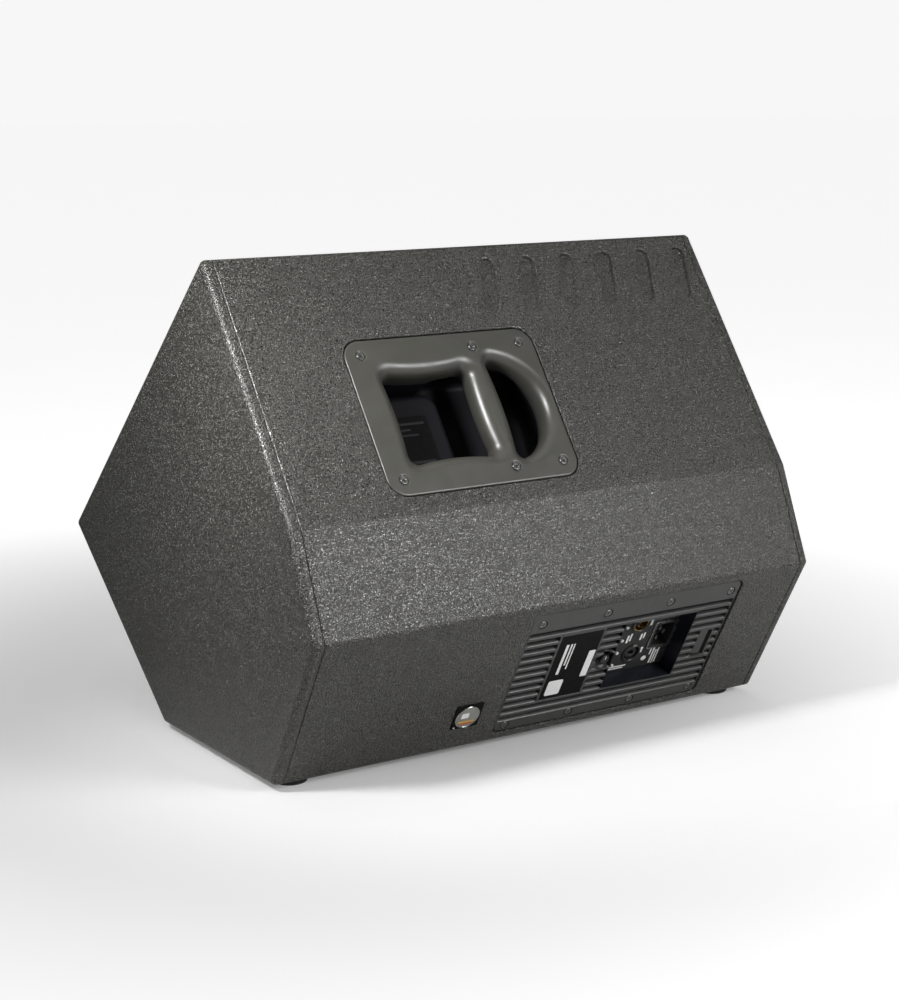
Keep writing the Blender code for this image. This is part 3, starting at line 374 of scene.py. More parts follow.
def middle_of(pair):
    return (pair[0] + pair[1]) / 2


def inset_rect(xs, ys, radius, steps=8):
    """A rounded rectangle as a function of how far it is drawn in."""
    return lambda inset: rounded_rect(grown(xs, -inset), grown(ys, -inset), radius - inset, steps)


def loft(rings, close_ends=True):
    """Vertices and faces that join rings of the same length, each anticlockwise seen from low z."""
    count = len(rings[0])
    verts = [p for ring in rings for p in ring]
    faces = []
    for level in range(len(rings) - 1):
        base, over = level * count, (level + 1) * count
        for k in range(count):
            following = (k + 1) % count
            faces.append((base + k, base + following, over + following, over + k))
    if close_ends:
        faces.append(tuple(range(count))[::-1])
        faces.append(tuple(range((len(rings) - 1) * count, len(rings) * count)))
    return verts, faces


def level(outline, depth):
    return [(x, y, depth) for x, y in outline]


def column(outline, *depths):
    """An outline carried straight through the depths, with closed ends."""
    return loft([level(outline, depth) for depth in depths])


def hollow(name, rings, look, side, angle, weighted=True, weld=1e-6):
    """A closed skin through rings that lead back to the first, such as a frame."""
    mesh = mesh_of(name, *loft(rings + rings[:1], close_ends=False), weld=weld)
    return wrap_mesh(name, mesh, look, side.matrix, angle, weighted)


def quarter_round(size, steps, first=0):
    """Points round a quarter circle, as distances from its two sides: from (size, 0) to (0, size)."""
    turns = [math.radians(90 * k / steps) for k in range(first, steps + 1)]
    return [(size * (1 - math.sin(turn)), size * (1 - math.cos(turn))) for turn in turns]


def eased(outline, low, high, ease, steps=4):
    """Rings of a slab whose edge at its low side is rounded; outline(inset) is its shape, drawn in."""
    rings = [level(outline(inset), low + depth) for inset, depth in quarter_round(ease, steps)]
    return rings + [level(outline(0), high)]


def plate(name, outline, low, high, ease, look, side):
    return new_piece(name, *loft(eased(outline, low, high, ease)), look, side.matrix)


def lathe(points, steps=48):
    """Vertices and faces of a profile of (radius, depth) points turned about z, from axis to axis or closed."""
    doubled = sum(a[0] * b[1] - b[0] * a[1] for a, b in zip(points, points[1:] + points[:1]))
    if doubled < 0:
        points = points[::-1]
    closed = points[0][0] > 1e-9 and points[-1][0] > 1e-9
    verts, rows = [], []
    for radius, depth in points:
        if radius < 1e-9:
            rows.append([len(verts)] * steps)
            verts.append((0, 0, depth))
            continue
        rows.append(list(range(len(verts), len(verts) + steps)))
        for k in range(steps):
            turn = 2 * math.pi * k / steps
            verts.append((radius * math.cos(turn), radius * math.sin(turn), depth))
    faces = []
    pairs = list(zip(rows, rows[1:])) + ([(rows[-1], rows[0])] if closed else [])
    for low, high in pairs:
        for k in range(steps):
            following = (k + 1) % steps
            face = (low[k], low[following], high[following], high[k])
            face = tuple(dict.fromkeys(face))
            if len(face) > 2:
                faces.append(face)
    return verts, faces


def turned(name, points, look, matrix, steps, slot, angle=35, holes=()):
    """A lathed piece, from (radius, depth) points in millimetres."""
    mesh = mesh_of(name, *lathe([(r * MM, z * MM) for r, z in points], steps))
    if holes:
        mesh = cut(mesh, holes)
    return wrap_mesh(name, mesh, look, matrix, angle, False)


def at(side, x, along, depth=0.0):
    return side.matrix @ Matrix.Translation((x, along, depth))


def cut(mesh, cutters, matrix=None):
    """The mesh with the cutters, given as (vertices, faces), taken out of it."""
    item = add("cutting", mesh)
    tools = []
    for number, cutter in enumerate(cutters):
        name = f"cutter_{number}"
        tools.append(add(name, mesh_of(name, *cutter, matrix)))
        modifier = item.modifiers.new(name, "BOOLEAN")
        modifier.operation = "DIFFERENCE"
        modifier.solver = "EXACT"
        modifier.object = tools[-1]
    bpy.context.view_layer.update()
    graph = bpy.context.evaluated_depsgraph_get()
    result = bpy.data.meshes.new_from_object(item.evaluated_get(graph))
    for tool in [*tools, item]:
        bpy.data.objects.remove(tool, do_unlink=True)
    return result


# ---------------- cabinet skin


BOARD = 15 * MM
END_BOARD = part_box("end_panel_left")[1].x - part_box("end_panel_left")[0].x
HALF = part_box("end_panel_right")[1].x
# The wrap's cuts come out closed at this edge radius and seam, but not at every pair near them.
EDGE = 6.5 * MM
SEAM = 1.1 * MM


def corner_of(before, after, inset, after_inset):
    """Where two sides meet, each drawn in by its own inset."""
    heading, other = before.along, after.along
    point = before.start + before.inward * inset
    gap = after.start + after.inward * after_inset - point
    cross = heading.x * other.y - heading.y * other.x
    return point + heading * ((gap.x * other.y - gap.y * other.x) / cross)


def rounded_corner(before, after, inset, radius, steps=6):
    """Points round the corner between two sides, both drawn in by an inset."""
    turn = math.acos(max(-1, min(1, before.along.dot(after.along))))
    reach = radius * math.tan(turn / 2)
    centre = corner_of(before, after, inset, inset) - before.along * reach + before.inward * radius
    points = []
    for k in range(steps + 1):
        part = turn * k / steps
        outward_way = -before.inward * math.cos(part) + before.along * math.sin(part)
        points.append(centre + outward_way * radius)
    return points


def hexagon(inset, radius):
    """The end's outline with rounded corners, from the top corner round by the handle side."""
    sides = [BAFFLE, HANDLE, CHAMFER, REAR, FLOOR, FRONT, BAFFLE]
    points = []
    for before, after in zip(sides, sides[1:]):
        points += rounded_corner(before, after, inset, radius)
    return points


def end_board(name, node, outer_x, inner_x):
    """An end board: a rounded outer edge, and a small chamfer where it meets the wrap."""
    way = 1 if outer_x > inner_x else -1
    tightest = 0.6 * MM
    stations = [(inner_x, SEAM), (inner_x + way * SEAM, 0.0), (outer_x - way * EDGE, 0.0)]
    stations += [(outer_x - way * back, inset) for back, inset in quarter_round(EDGE, 6, 1)]
    rings = [[(x, p.x, p.y) for p in hexagon(inset, max(EDGE - inset, tightest))] for x, inset in stations]
    item = new_piece(name, *loft(rings), "paint")
    outward(item.data)
    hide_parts(node)
    return item


def wrap_outline(inset):
    """The wrap's section: round the outside from the top to the front corner, and back along the inside."""
    inner = ((BAFFLE, FRONT, 0), (FLOOR, FRONT, BOARD), (REAR, FLOOR, BOARD), (CHAMFER, REAR, BOARD),
             (HANDLE, CHAMFER, BOARD), (BAFFLE, HANDLE, 0))
    return hexagon(inset, EDGE) + [corner_of(a, b, depth, BOARD) for a, b, depth in inner]


def flared_rings(outline, depth, ease, steps=5):
    rings = [level(outline(-ease), -3 * MM)]
    rings += [level(outline(-widening), down) for widening, down in quarter_round(ease, steps)]
    return rings + [level(outline(0), depth)]


def flared(outline, depth, ease):
    """A cutter whose mouth widens in a quarter round, so that it leaves a rounded rim."""
    return loft(flared_rings(outline, depth, ease))


def dished(outline, depth, ease, floor_round, steps=4):
    """A flared cutter whose floor meets its wall in a round."""
    rings = flared_rings(outline, depth - floor_round, ease)
    rings += [level(outline(inset), depth - rise) for rise, inset in quarter_round(floor_round, steps, 1)]
    return loft(rings)


def seat_shape(xs, ys, gap, radius):
    """The recess round a plate, wider than it by a gap, as a function of how far it is drawn in."""
    return lambda inset: rounded_rect(grown(xs, gap - inset), grown(ys, gap - inset), radius + gap - inset)


def grooves():
    """Six plain slanted grooves near the top of the handle side."""
    count = 6
    left, right, top, foot = 4 * MM, 286 * MM, 18 * MM, 85 * MM
    width, lean = 20 * MM, 12 * MM
    cutters = []
    for k in range(count):
        middle = left + width / 2 + k * (right - left - width) / (count - 1)
        ends = ((middle + lean / 2, top + width / 2), (middle - lean / 2, foot - width / 2))
        shape = lambda inset, ends=ends: pill(*ends, width - 3 * MM - 2 * inset)
        cutters.append(dished(shape, 4.6 * MM, 2.0 * MM, 1.8 * MM))
    return cutters


def cabinet_wrap():
    """The cabinet's five wrap panels as one skin, with the seats and openings of its two plates."""
    half = HALF - END_BOARD - 0.15 * MM
    through = (0, 30 * MM)
    rings = []
    for x, inset in ((-half, SEAM), (-half + SEAM, 0.0), (half - SEAM, 0.0), (half, SEAM)):
        rings.append([(x, p.x, p.y) for p in wrap_outline(inset)])
    mesh = mesh_of("wrap", *loft(rings))

    xs, ys, _ = HANDLE.spans("handle_cup")
    seat = flared(seat_shape(xs, ys, 1.1 * MM, 20 * MM), 6 * MM, 1.2 * MM)
    opening = rounded_rect((-166 * MM, 35 * MM), (123 * MM, 263 * MM), 18 * MM)
    mesh = cut(mesh, [seat, column(opening, *through), *grooves()], HANDLE.matrix)

    xs, ys, _ = REAR.spans("amp_plate")
    seat = flared(seat_shape(xs, ys, 1.4 * MM, 8 * MM), 5.5 * MM, 1.0 * MM)
    opening = rounded_rect(grown(xs, -3 * MM), grown(ys, -16 * MM), 2 * MM)
    mesh = cut(mesh, [seat, column(opening, *through)], REAR.matrix)
    item = wrap_mesh("cabinet_wrap", mesh, "paint", smooth_angle=28)
    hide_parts("handle_panel", "chamfer_panel", "rear_panel", "floor_panel", "front_lower_panel")
    return item


# ---------------- implicit surfaces


def surface_net(field, low, high, pitch):
    """Vertices and quads of a field's zero surface, drawn on to it; the field is negative inside."""
    axes = [np.arange(a, b + pitch, pitch) for a, b in zip(low, high)]
    value = field(*np.meshgrid(*axes, indexing="ij")).astype(np.float32)
    inside = value < 0
    shape = tuple(n - 1 for n in value.shape)
    total = np.zeros((*shape, 3), np.float32)
    count = np.zeros(shape, np.int16)

    def corner(offset):
        return value[tuple(slice(o, o + n) for o, n in zip(offset, shape))]

    # Each cell's point is the mean of where the surface crosses the cell's edges.
    for first in np.ndindex(2, 2, 2):
        for axis in range(3):
            if first[axis]:
                continue
            one, two = corner(first), corner(tuple(o + (k == axis) for k, o in enumerate(first)))
            crosses = (one < 0) != (two < 0)
            share = np.where(crosses, one / np.where(one == two, 1, one - two), 0)
            for k in range(3):
                total[..., k] += np.where(crosses, first[k] + (share if k == axis else 0), 0)
            count += crosses
    used = count > 0
    index = np.full(shape, -1)
    index[used] = np.arange(used.sum())
    points = (np.argwhere(used) + total[used] / count[used][:, None]) * pitch + np.array([a[0] for a in axes])

    # Each grid edge that the surface crosses gives a quad of the four cells round it.
    quads = []
    for axis in range(3):
        here, ahead = np.delete(inside, -1, axis), np.delete(inside, 0, axis)
        b, c = (axis + 1) % 3, (axis + 2) % 3
        where = np.argwhere(here != ahead)
        keep = (where[:, b] > 0) & (where[:, c] > 0)
        keep &= (where[:, b] < shape[b]) & (where[:, c] < shape[c])
        where = where[keep]
        ring = []
        for db, dc in ((1, 1), (0, 1), (0, 0), (1, 0)):
            place = where.copy()
            place[:, b] -= db
            place[:, c] -= dc
            ring.append(index[tuple(place.T)])
        ring = np.stack(ring, axis=1)
        flip = ~here[tuple(where.T)]
        ring[flip] = ring[flip][:, ::-1]
        quads.append(ring)

    # The points are drawn on to the surface along its slope.
    reach = pitch * 0.05
    for _ in range(4):
        slope = np.stack([(field(*(points + reach * e).T) - field(*(points - reach * e).T)) / (2 * reach)
                          for e in np.eye(3)], axis=1)
        steepness = np.maximum((slope**2).sum(axis=1), 0.2)
        move = np.clip(field(*points.T) / steepness, -pitch / 2, pitch / 2)
        points = points - slope * move[:, None]
    return points, np.concatenate(quads)


def round_max(a, b, radius):
    """The larger of two distances with the edge between them rounded."""
    over = np.hypot(np.maximum(a + radius, 0), np.maximum(b + radius, 0))
    return np.minimum(np.maximum(a, b), -radius) + over


def round_min(a, b, radius):
    return -round_max(-a, -b, radius)


def span(value, low, high):
    return np.maximum(low - value, value - high)


# ---------------- handle


def handle_field(xs, ys, top, seats):
    """The handle's casting: a plate with two hand openings, joined under the grip bar."""
    pocket_x, pocket_y = (-153.5, -46.0), (141.0, 246.5)
    mid_x, mid_y = sum(pocket_x) / 2, sum(pocket_y) / 2
    half_x, half_y = (pocket_x[1] - pocket_x[0]) / 2, (pocket_y[1] - pocket_y[0]) / 2

    def field(x, y, z):
        side_bow = 4.0 * (1 - ((y - mid_y) / half_y) ** 2)
        end_bow = 5.5 * (1 - ((x - mid_x) / half_x) ** 2)
        draft = 0.05 * z
        across = np.maximum(pocket_x[0] + side_bow - x, x - (pocket_x[1] - side_bow)) + draft
        down = np.maximum(pocket_y[0] + end_bow - y, y - (pocket_y[1] - end_bow)) + draft
        pocket = round_max(round_max(across, down, 14), z - 57, 9)

        bulge = np.hypot(x + 29.5, y - 194) - 58.5 + draft
        grip_side = -25.5 + 4.5 * (1 - ((y - 191) / 60) ** 2) - x
        crescent = round_max(round_max(bulge, grip_side, 11), z - 57, 9)

        passage = round_max(round_max(span(x, -86, 23), span(y, 138, 247), 10), span(z, 27, 57), 8)
        solid = round_max(-pocket, -crescent, 0.5)
        solid = round_max(solid, -passage, 7)

        ledge = round_max(round_max(x + 80, 155 - y, 17), 30 - z, 9)
        solid = round_min(solid, ledge, 6)

        solid = round_max(solid, top - z, 12)
        rim = round_max(span(x, *xs), span(y, *ys), 20)
        flange = round_max(rim, span(z, top, top + 4), 1.5)
        hull = round_max(span(x, -162, 35), span(y, 127, 258), 16)
        cup = np.maximum(hull, span(z, top, 60.5))
        whole = np.maximum(np.minimum(flange, cup), solid)
        for seat_x, seat_y in seats:
            seat = np.maximum(np.hypot(x - seat_x, y - seat_y) - 5.5, z - top - 1.3)
            whole = round_max(whole, -seat, 0.7)
        return whole

    return field


LABEL_BARS = (
    ((-146, -106), (188, 190.5)), ((-146, -124), (195, 197)),
    ((-146, -116), (201, 203)), ((-146, -106), (231, 234)),
)


def handle():
    xs, ys, (top, _) = (in_mm(pair) for pair in HANDLE.spans("handle_cup"))
    seats = [in_mm(centre_of(HANDLE, f"handle_screw_{n}")) for n in range(1, 7)]
    field = handle_field(xs, ys, top, seats)
    pitch = 1.0
    start = (xs[0] - 2.1, ys[0] - 2.1, top - 2.3)
    points, quads = surface_net(field, start, (xs[1] + 2, ys[1] + 2, 63), pitch)
    mesh = bpy.data.meshes.new("handle")
    mesh.from_pydata((points * MM).tolist(), [], quads.tolist())
    item = wrap_mesh("handle_casting", mesh, "handle", HANDLE.matrix, smooth_angle=40, weighted=False)
    # Faces more than 26 mm deep take the near-black recess look: painted shade in the cup.
    item.data.materials.append(LOOKS["recess"])
    to_face = HANDLE.matrix.inverted()
    for polygon in item.data.polygons:
        polygon.material_index = (to_face @ polygon.center).z > 26 * MM
    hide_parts("handle_cup")
    shape = inset_rect((-150 * MM, -101 * MM), (181 * MM, 241 * MM), 1.5 * MM, 5)
    label = plate("handle_label", shape, 29.65 * MM, 30.1 * MM, 0.1 * MM, "label", HANDLE)
    for number, (xs, ys) in enumerate(LABEL_BARS, 1):
        stripe = plate(f"handle_label_stripe_{number}", inset_rect(mm(xs), mm(ys), 0.6 * MM, 3), 29.6 * MM,
                       29.7 * MM, 0.02 * MM, "faint", HANDLE)


# ---------------- screws


def screw_mesh():
    """A countersunk screw with a cross recess, its head's rim at depth 0."""
    profile = [(0, 0.35), (2.4, 0.12), (3.4, 0), (4.0, 0.15), (4.4, 0.6), (4.5, 1.0), (2, 1.1), (2, 20),
               (0, 22)]
    mesh = mesh_of("screw", *lathe([mm(point) for point in profile], 40))
    bars = []
    for wide, tall in ((2.5, 0.42), (0.42, 2.5)):
        outline = rounded_rect((-wide * MM, wide * MM), (-tall * MM, tall * MM), 0.2 * MM, 3)
        foot = [(x * 0.45, y * 0.45, 1.9 * MM) for x, y in outline]
        bars.append(loft([level(outline, -1 * MM), level(outline, 0.2 * MM), foot]))
    return cut(mesh, bars)


def screws():
    master = screw_mesh()
    for group, side, count, turn in (("handle_screw", HANDLE, 6, 25), ("amp_screw", REAR, 8, 50)):
        for number in range(1, count + 1):
            node = f"{group}_{number}"
            spin = Matrix.Rotation(math.radians(turn + 37 * number), 4, "Z")
            place = at(side, *centre_of(side, node), side.spans(node)[2][0])
            item = wrap_mesh(f"{node}_head", master.copy(), "screw", place @ spin, 30, False)
            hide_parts(node)


# ---------------- amplifier plate, in millimetres


ROW_FIRST, ROW_PITCH, ROWS = 40.5, 10.6, 12
GROOVE_HALF, GROOVE_DEPTH = 4.0, 8.0
CORE = ((-50.6, 219.4), (36.2, 161.4))
LABEL = ((-5.0, 49.0), (48.5, 139.5))
LABEL_STEP = ((-4.6, 48.6), (48.9, 139.1))
BAY = ((77.0, 174.0), (48.0, 140.0))
CURL = 9.0
CORE_BACK = 12.5


def groove_rows():
    """The grooves of each row as (start, end, start ramp, end ramp)."""
    rows = []
    for row in range(ROWS):
        full = [(-50.3, 219.0, CURL, 2.5)]
        split = [(-50.3, -8.0, CURL, 1.6), (51.5, 90.0, CURL, 0.01)]
        if row in (0, ROWS - 2, ROWS - 1):
            spans = full
        elif 4 <= row <= 7:
            spans = split + [(174.5, 191.5, CURL, 1.2), (211.0, 219.0, 1.2, 2.5)]
        else:
            spans = split + [(174.5, 219.0, CURL, 2.5)]
        rows.append(spans)
    return rows


def ramp(distance, length):
    """A quarter-round climb from 0 to 1 over a length."""
    t = np.clip(distance / length, 0, 1)
    return np.sqrt(np.clip(1 - (1 - t) ** 2, 0, 1))


def soft_slot(value, low, high, edge):
    return np.clip(np.minimum(value - low, high - value) / edge, 0, 1)


def plate_depth(x, y, face):
    """Depth of the ribbed surface below the side of the cabinet, in mm."""
    depth = np.zeros_like(x)
    for row, spans in enumerate(groove_rows()):
        middle = ROW_FIRST + row * ROW_PITCH
        across = np.clip(np.abs(y - middle) / GROOVE_HALF, 0, 1)
        section = 1 - across**2 * (3 - 2 * across)
        section = np.clip(section * 1.25, 0, 1)
        for start, end, ramp_in, ramp_out in spans:
            along = ramp(x - start, ramp_in) * ramp(end - x, ramp_out)
            depth = np.maximum(depth, GROOVE_DEPTH * along * section)
    tall = soft_slot(x, 203.0, 208.5, 0.7) * soft_slot(y, 80.0, 117.0, 0.7)
    wide = soft_slot(x, 192.0, 204.0, 0.7) * soft_slot(y, 112.8, 117.0, 0.7)
    depth = np.maximum(depth, 7.0 * np.maximum(tall, wide))
    label = soft_slot(x, *LABEL[0], 0.5) * soft_slot(y, *LABEL[1], 0.5)
    depth = np.maximum(depth, 1.1 * label)
    from_knob = np.hypot(x - 67.5, y - 97.5) / 12.5
    scoop = 9.5 * np.sqrt(np.clip(1 - from_knob**2, 0, 1))
    depth = np.where(from_knob < 1, np.maximum(scoop, depth * (from_knob > 0.92)), depth)
    return face + depth


def grid_lines(axis, pitch):
    """Even steps across the ribbed core, with lines on the edges of the bay and the label."""
    fixed = [*CORE[axis], *BAY[axis], *LABEL[axis], *LABEL_STEP[axis]]
    start, end = CORE[axis]
    regular = np.linspace(start, end, int(round((end - start) / pitch)) + 1)
    keep = [v for v in regular if min(abs(v - f) for f in fixed) > 0.3]
    return np.unique(np.round(sorted(keep + fixed), 4))


def amp_ribs(face):
    """The ribbed core: a grid lowered by the grooves, a flat back, and walls round it and the bay."""
    step_x, step_y = ((0.8, 0.45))
    grid_x, grid_y = grid_lines(0, step_x), grid_lines(1, step_y)
    across, down = np.meshgrid(grid_x, grid_y, indexing="ij")
    verts = np.stack([across, down, plate_depth(across, down, face)], axis=-1).reshape(-1, 3)
    back = np.stack([across, down, np.full_like(across, CORE_BACK)], axis=-1).reshape(-1, 3)
    in_bay = []
    for grid, (low, high) in zip((grid_x, grid_y), BAY):
        middle = (grid[1:] + grid[:-1]) / 2
        in_bay.append((middle > low) & (middle < high))
    solid = ~(in_bay[0][:, None] & in_bay[1][None, :])
    number = np.arange(across.size).reshape(across.shape)
    under = number + across.size
    i, j = np.argwhere(solid).T
    faces = [np.stack([number[i, j], number[i, j + 1], number[i + 1, j + 1], number[i + 1, j]], 1),
             np.stack([under[i, j], under[i + 1, j], under[i + 1, j + 1], under[i, j + 1]], 1)]
    padded = np.pad(solid, 1)
    for di, dj, ends in ((-1, 0, ((0, 1), (0, 0))), (1, 0, ((1, 0), (1, 1))),
                         (0, -1, ((0, 0), (1, 0))), (0, 1, ((1, 1), (0, 1)))):
        edge = solid & ~padded[1 + di : padded.shape[0] - 1 + di, 1 + dj : padded.shape[1] - 1 + dj]
        i, j = np.argwhere(edge).T
        (a, b), (c, d) = ends
        faces.append(np.stack([number[i + a, j + b], number[i + c, j + d], under[i + c, j + d],
                               under[i + a, j + b]], 1))
    faces = np.concatenate(faces)
    points = np.concatenate([verts, back]) * MM
    used, index = np.unique(faces, return_inverse=True)
    ribs = new_piece("amp_ribs", points[used].tolist(), index.reshape(faces.shape).tolist(), "amp",
                     REAR.matrix, 50, False)
    outward(ribs.data)
    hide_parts("amp_plate")


def ribbed_plate():
    xs, ys, (top, _) = REAR.spans("amp_plate")
    amp_ribs(top / MM)

    outline = inset_rect(xs, ys, 7.5 * MM)
    mesh = mesh_of("amp_flange", *loft(eased(outline, top, top + 3 * MM, 0.8 * MM)))
    cutters = [column(rounded_rect(mm(CORE[0]), mm(CORE[1]), 0.1 * MM, 2), -5 * MM, 20 * MM)]
    for number in range(1, 9):
        spot = centre_of(REAR, f"amp_screw_{number}")
        seat = lambda inset, spot=spot: circle(spot, 5.6 * MM - inset, 40)
        verts, faces = flared(seat, 1.3 * MM, 0.3 * MM)
        cutters.append(([(x, y, z + top) for x, y, z in verts], faces))
    wrap_mesh("amp_flange", cut(mesh, cutters), "amp", REAR.matrix, 30)

    outer, inner, skin = (
        rounded_rect(mm(grown(BAY[0], by)), mm(grown(BAY[1], by)), radius * MM)
        for by, radius in ((2.6, 2), (0, 0.8), (-0.35, 0.8)))
    near, far, mouth = 12.7 * MM, 21.5 * MM, top + 0.5 * MM
    section = ((outer, near), (outer, far), (skin, far), (skin, mouth), (inner, mouth), (inner, near))
    rings = [level(ring, depth) for ring, depth in section]
    hollow("bay_liner", rings, "liner", REAR, 30)


# ---------------- connectors and knob


def centre_of(side, node):
    xs, ys, _ = side.spans(node)
    return middle_of(xs), middle_of(ys)


def rear_place(node):
    """The place of a round part on the rear side, and the depths of its ends in millimetres."""
    return at(REAR, *centre_of(REAR, node)), *in_mm(REAR.spans(node)[2])


def link_socket():
    place, top, bottom = rear_place("link_socket")
    ring = [(12, top + 0.5), (11.4, top), (9.8, top), (9.2, top + 0.8), (9.2, top + 14), (0, top + 14),
            (0, bottom), (12, bottom)]
    shell = turned("link_socket_shell", ring, "plastic", place, 48, "black_plastic")
    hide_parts("link_socket")
    sleeve = [(9.0, top + 0.9), (8.4, top + 0.9), (8.4, top + 13.5), (9.0, top + 13.5)]
    turned("link_socket_sleeve", sleeve, "gold", place, 48, "black_plastic")
    x, y = centre_of(REAR, "link_socket")
    pin = [(0, top + 2.6), (0.7, top + 2.8), (1.2, top + 3.6), (1.2, top + 14.5), (0, top + 14.5)]
    for number, (dx, dy) in enumerate(((0, 4.8), (-4.2, -2.4), (4.2, -2.4)), 1):
        spot = at(REAR, x + dx * MM, y + dy * MM)
        turned(f"link_socket_pin_{number}", pin, "nickel", spot, 20, "black_plastic")


def input_socket():
    place, top, bottom = rear_place("input_socket")
    ring = [(12, top + 0.6), (11.2, top), (10.0, top), (9.4, top + 0.7), (9.4, top + 17), (7.3, top + 17),
            (7.3, top + 2.4), (6.9, top + 2.0), (3.7, top + 2.0), (3.3, top + 2.5), (3.3, top + 17),
            (0, top + 17), (0, bottom), (12, bottom)]
    holes = []
    for turn in (90, 210, 330):
        spot = (5.3 * MM * math.cos(math.radians(turn)), 5.3 * MM * math.sin(math.radians(turn)))
        holes.append(column(circle(spot, 0.95 * MM, 20), (top - 1) * MM, (top + 12) * MM))
    body = turned("input_socket_body", ring, "plastic", place, 56, "black_plastic", holes=holes)
    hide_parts("input_socket")
    x, y = centre_of(REAR, "input_socket")
    latch = rounded_rect((-2.6 * MM, 2.6 * MM), (-13.2 * MM, -10.4 * MM), 0.8 * MM, 4)
    tab = column([(x + a, y + b) for a, b in latch], (top - 0.5) * MM, (top + 0.9) * MM)
    new_piece("input_socket_latch", *tab, "nickel", REAR.matrix)


def mains_inlet():
    xs, ys, (top, bottom) = REAR.spans("mains_inlet")
    x, y = sum(xs) / 2, sum(ys) / 2
    mesh = mesh_of("inlet", *loft(eased(inset_rect(xs, ys, 2.6 * MM, 6), top, bottom, 0.8 * MM)))
    mouth = inset_rect((x - 12 * MM, x + 12 * MM), (y - 15.5 * MM, y + 15.5 * MM), 3.5 * MM, 6)
    well, well_faces = flared(mouth, 16 * MM, 0.6 * MM)
    mesh = cut(mesh, [([(a, b, d + top) for a, b, d in well], well_faces)])
    body = wrap_mesh("mains_inlet_body", mesh, "plastic", REAR.matrix, 35, False)
    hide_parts("mains_inlet")
    for number, (dx, dy) in enumerate(((3, 0), (-4, -7), (-4, 7)), 1):
        outline = rounded_rect((x + (dx - 1) * MM, x + (dx + 1) * MM), (y + (dy - 3) * MM, y + (dy + 3) * MM),
                               0.3 * MM, 3)
        blade = column(outline, top + 3.6 * MM, top + 16.5 * MM)
        new_piece(f"mains_inlet_blade_{number}", *blade, "nickel", REAR.matrix)
    rings = []
    for by, depth in ((0.2, 0.4), (1.3, 0.4), (1.3, 1.7), (0.2, 1.7)):
        outline = rounded_rect(grown(xs, by * MM), grown(ys, by * MM), 2.8 * MM, 6)
        rings.append(level(outline, top + depth * MM))
    hollow("mains_inlet_frame", rings, "nickel", REAR, 35, False)


def gain_knob():
    """A knurled knob with a pale pointer line on its cap."""
    place, top, bottom = rear_place("gain_knob")
    radius, teeth, steps = 6.5, 20, 120
    rings = []
    profile = ((top, 4.6, 0), (top + 0.2, 5.3, 0), (top + 0.9, 5.9, 0.1), (top + 1.6, 6.1, 0.35),
               (bottom - 1.5, radius, 0.35), (bottom, radius, 0.1))
    for depth, reach, ribbed in profile:
        ring = []
        for k in range(steps):
            turn = 2 * math.pi * k / steps
            r = reach - ribbed * (0.5 - 0.5 * math.cos(teeth * turn))
            ring.append((r * math.cos(turn) * MM, r * math.sin(turn) * MM, depth * MM))
        rings.append(ring)
    knob = new_piece("gain_knob_cap", *loft(rings), "plastic", place, 50, False, "knob")
    outward(knob.data)
    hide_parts("gain_knob")
    line = rounded_rect((-0.5 * MM, 0.5 * MM), (-4.8 * MM, -0.6 * MM), 0.3 * MM, 3)
    line = column(line, (top - 0.08) * MM, (top + 0.3) * MM)
    pointer = new_piece("gain_knob_pointer", *line, "print", place, body="knob")


# ---------------- prints and labels


SUNK = 0.05


def bar(name, xs, ys, depth, look, corner=0.4, thick=0.12):
    """A thin plain mark on the rear side, in millimetres."""
    corner = min(corner, (xs[1] - xs[0]) / 2 * 0.98, (ys[1] - ys[0]) / 2 * 0.98)
    mark = column(rounded_rect(mm(xs), mm(ys), corner * MM, 4), (depth - thick) * MM, (depth + SUNK) * MM)
    new_piece(name, *mark, look, REAR.matrix)


PANEL_MARKS = (
    ((134.5, 137.5), (70, 78)), ((135.5, 138.5), (110, 118)),
    ((109, 111.5), (88, 99)), ((113, 115), (86, 97)), ((127.5, 130), (89, 98)), ((131.5, 133.5), (88, 96)),
    ((100, 123), (132.5, 134.2)), ((100, 120), (135.4, 137)),
    ((151, 153), (115, 124)), ((155, 157.4), (114, 137)),
    ((158.8, 160.6), (118, 138)), ((162, 164), (116, 137)),
    ((166, 172), (66, 68)), ((150, 164), (66, 68)),
    ((87, 96), (53, 55)), ((87, 93), (57, 59)),
)


def prints():
    """Generic marks on the connector panel: a dot, ticks and plain bars in place of words."""
    face = REAR.spans("connector_panel")[2][0] / MM
    for number, (xs, ys) in enumerate(PANEL_MARKS, 1):
        bar(f"panel_mark_{number}", xs, ys, face, "print")
    outline = [mm(point) for point in circle((145.5, 128), 3.4, 24)]
    dot = column(outline, (face - 0.12) * MM, (face + SUNK) * MM)
    new_piece("panel_mark_dot", *dot, "print", REAR.matrix)


def labels():
    xs, ys, (top, bottom) = REAR.spans("label_plate")
    plain = plate("label_film", inset_rect(xs, ys, 1.0 * MM, 4), top, bottom, 0.1 * MM, "label", REAR)
    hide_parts("label_plate")
    depth = top / MM
    left, right = in_mm(xs)
    bar("label_sticker", (right - 9, right - 0.6), (77, 114), depth, "print", 1.2)
    bar("label_patch", (left + 5, left + 24), (113, 134), depth, "print", 2.4)
    stripes = (((5, 8.5), (62, 104)), ((11, 13), (62, 92)), ((15, 16.5), (62, 98)))
    for number, (across, down) in enumerate(stripes, 1):
        bar(f"label_stripe_{number}", across, down, depth, "print")


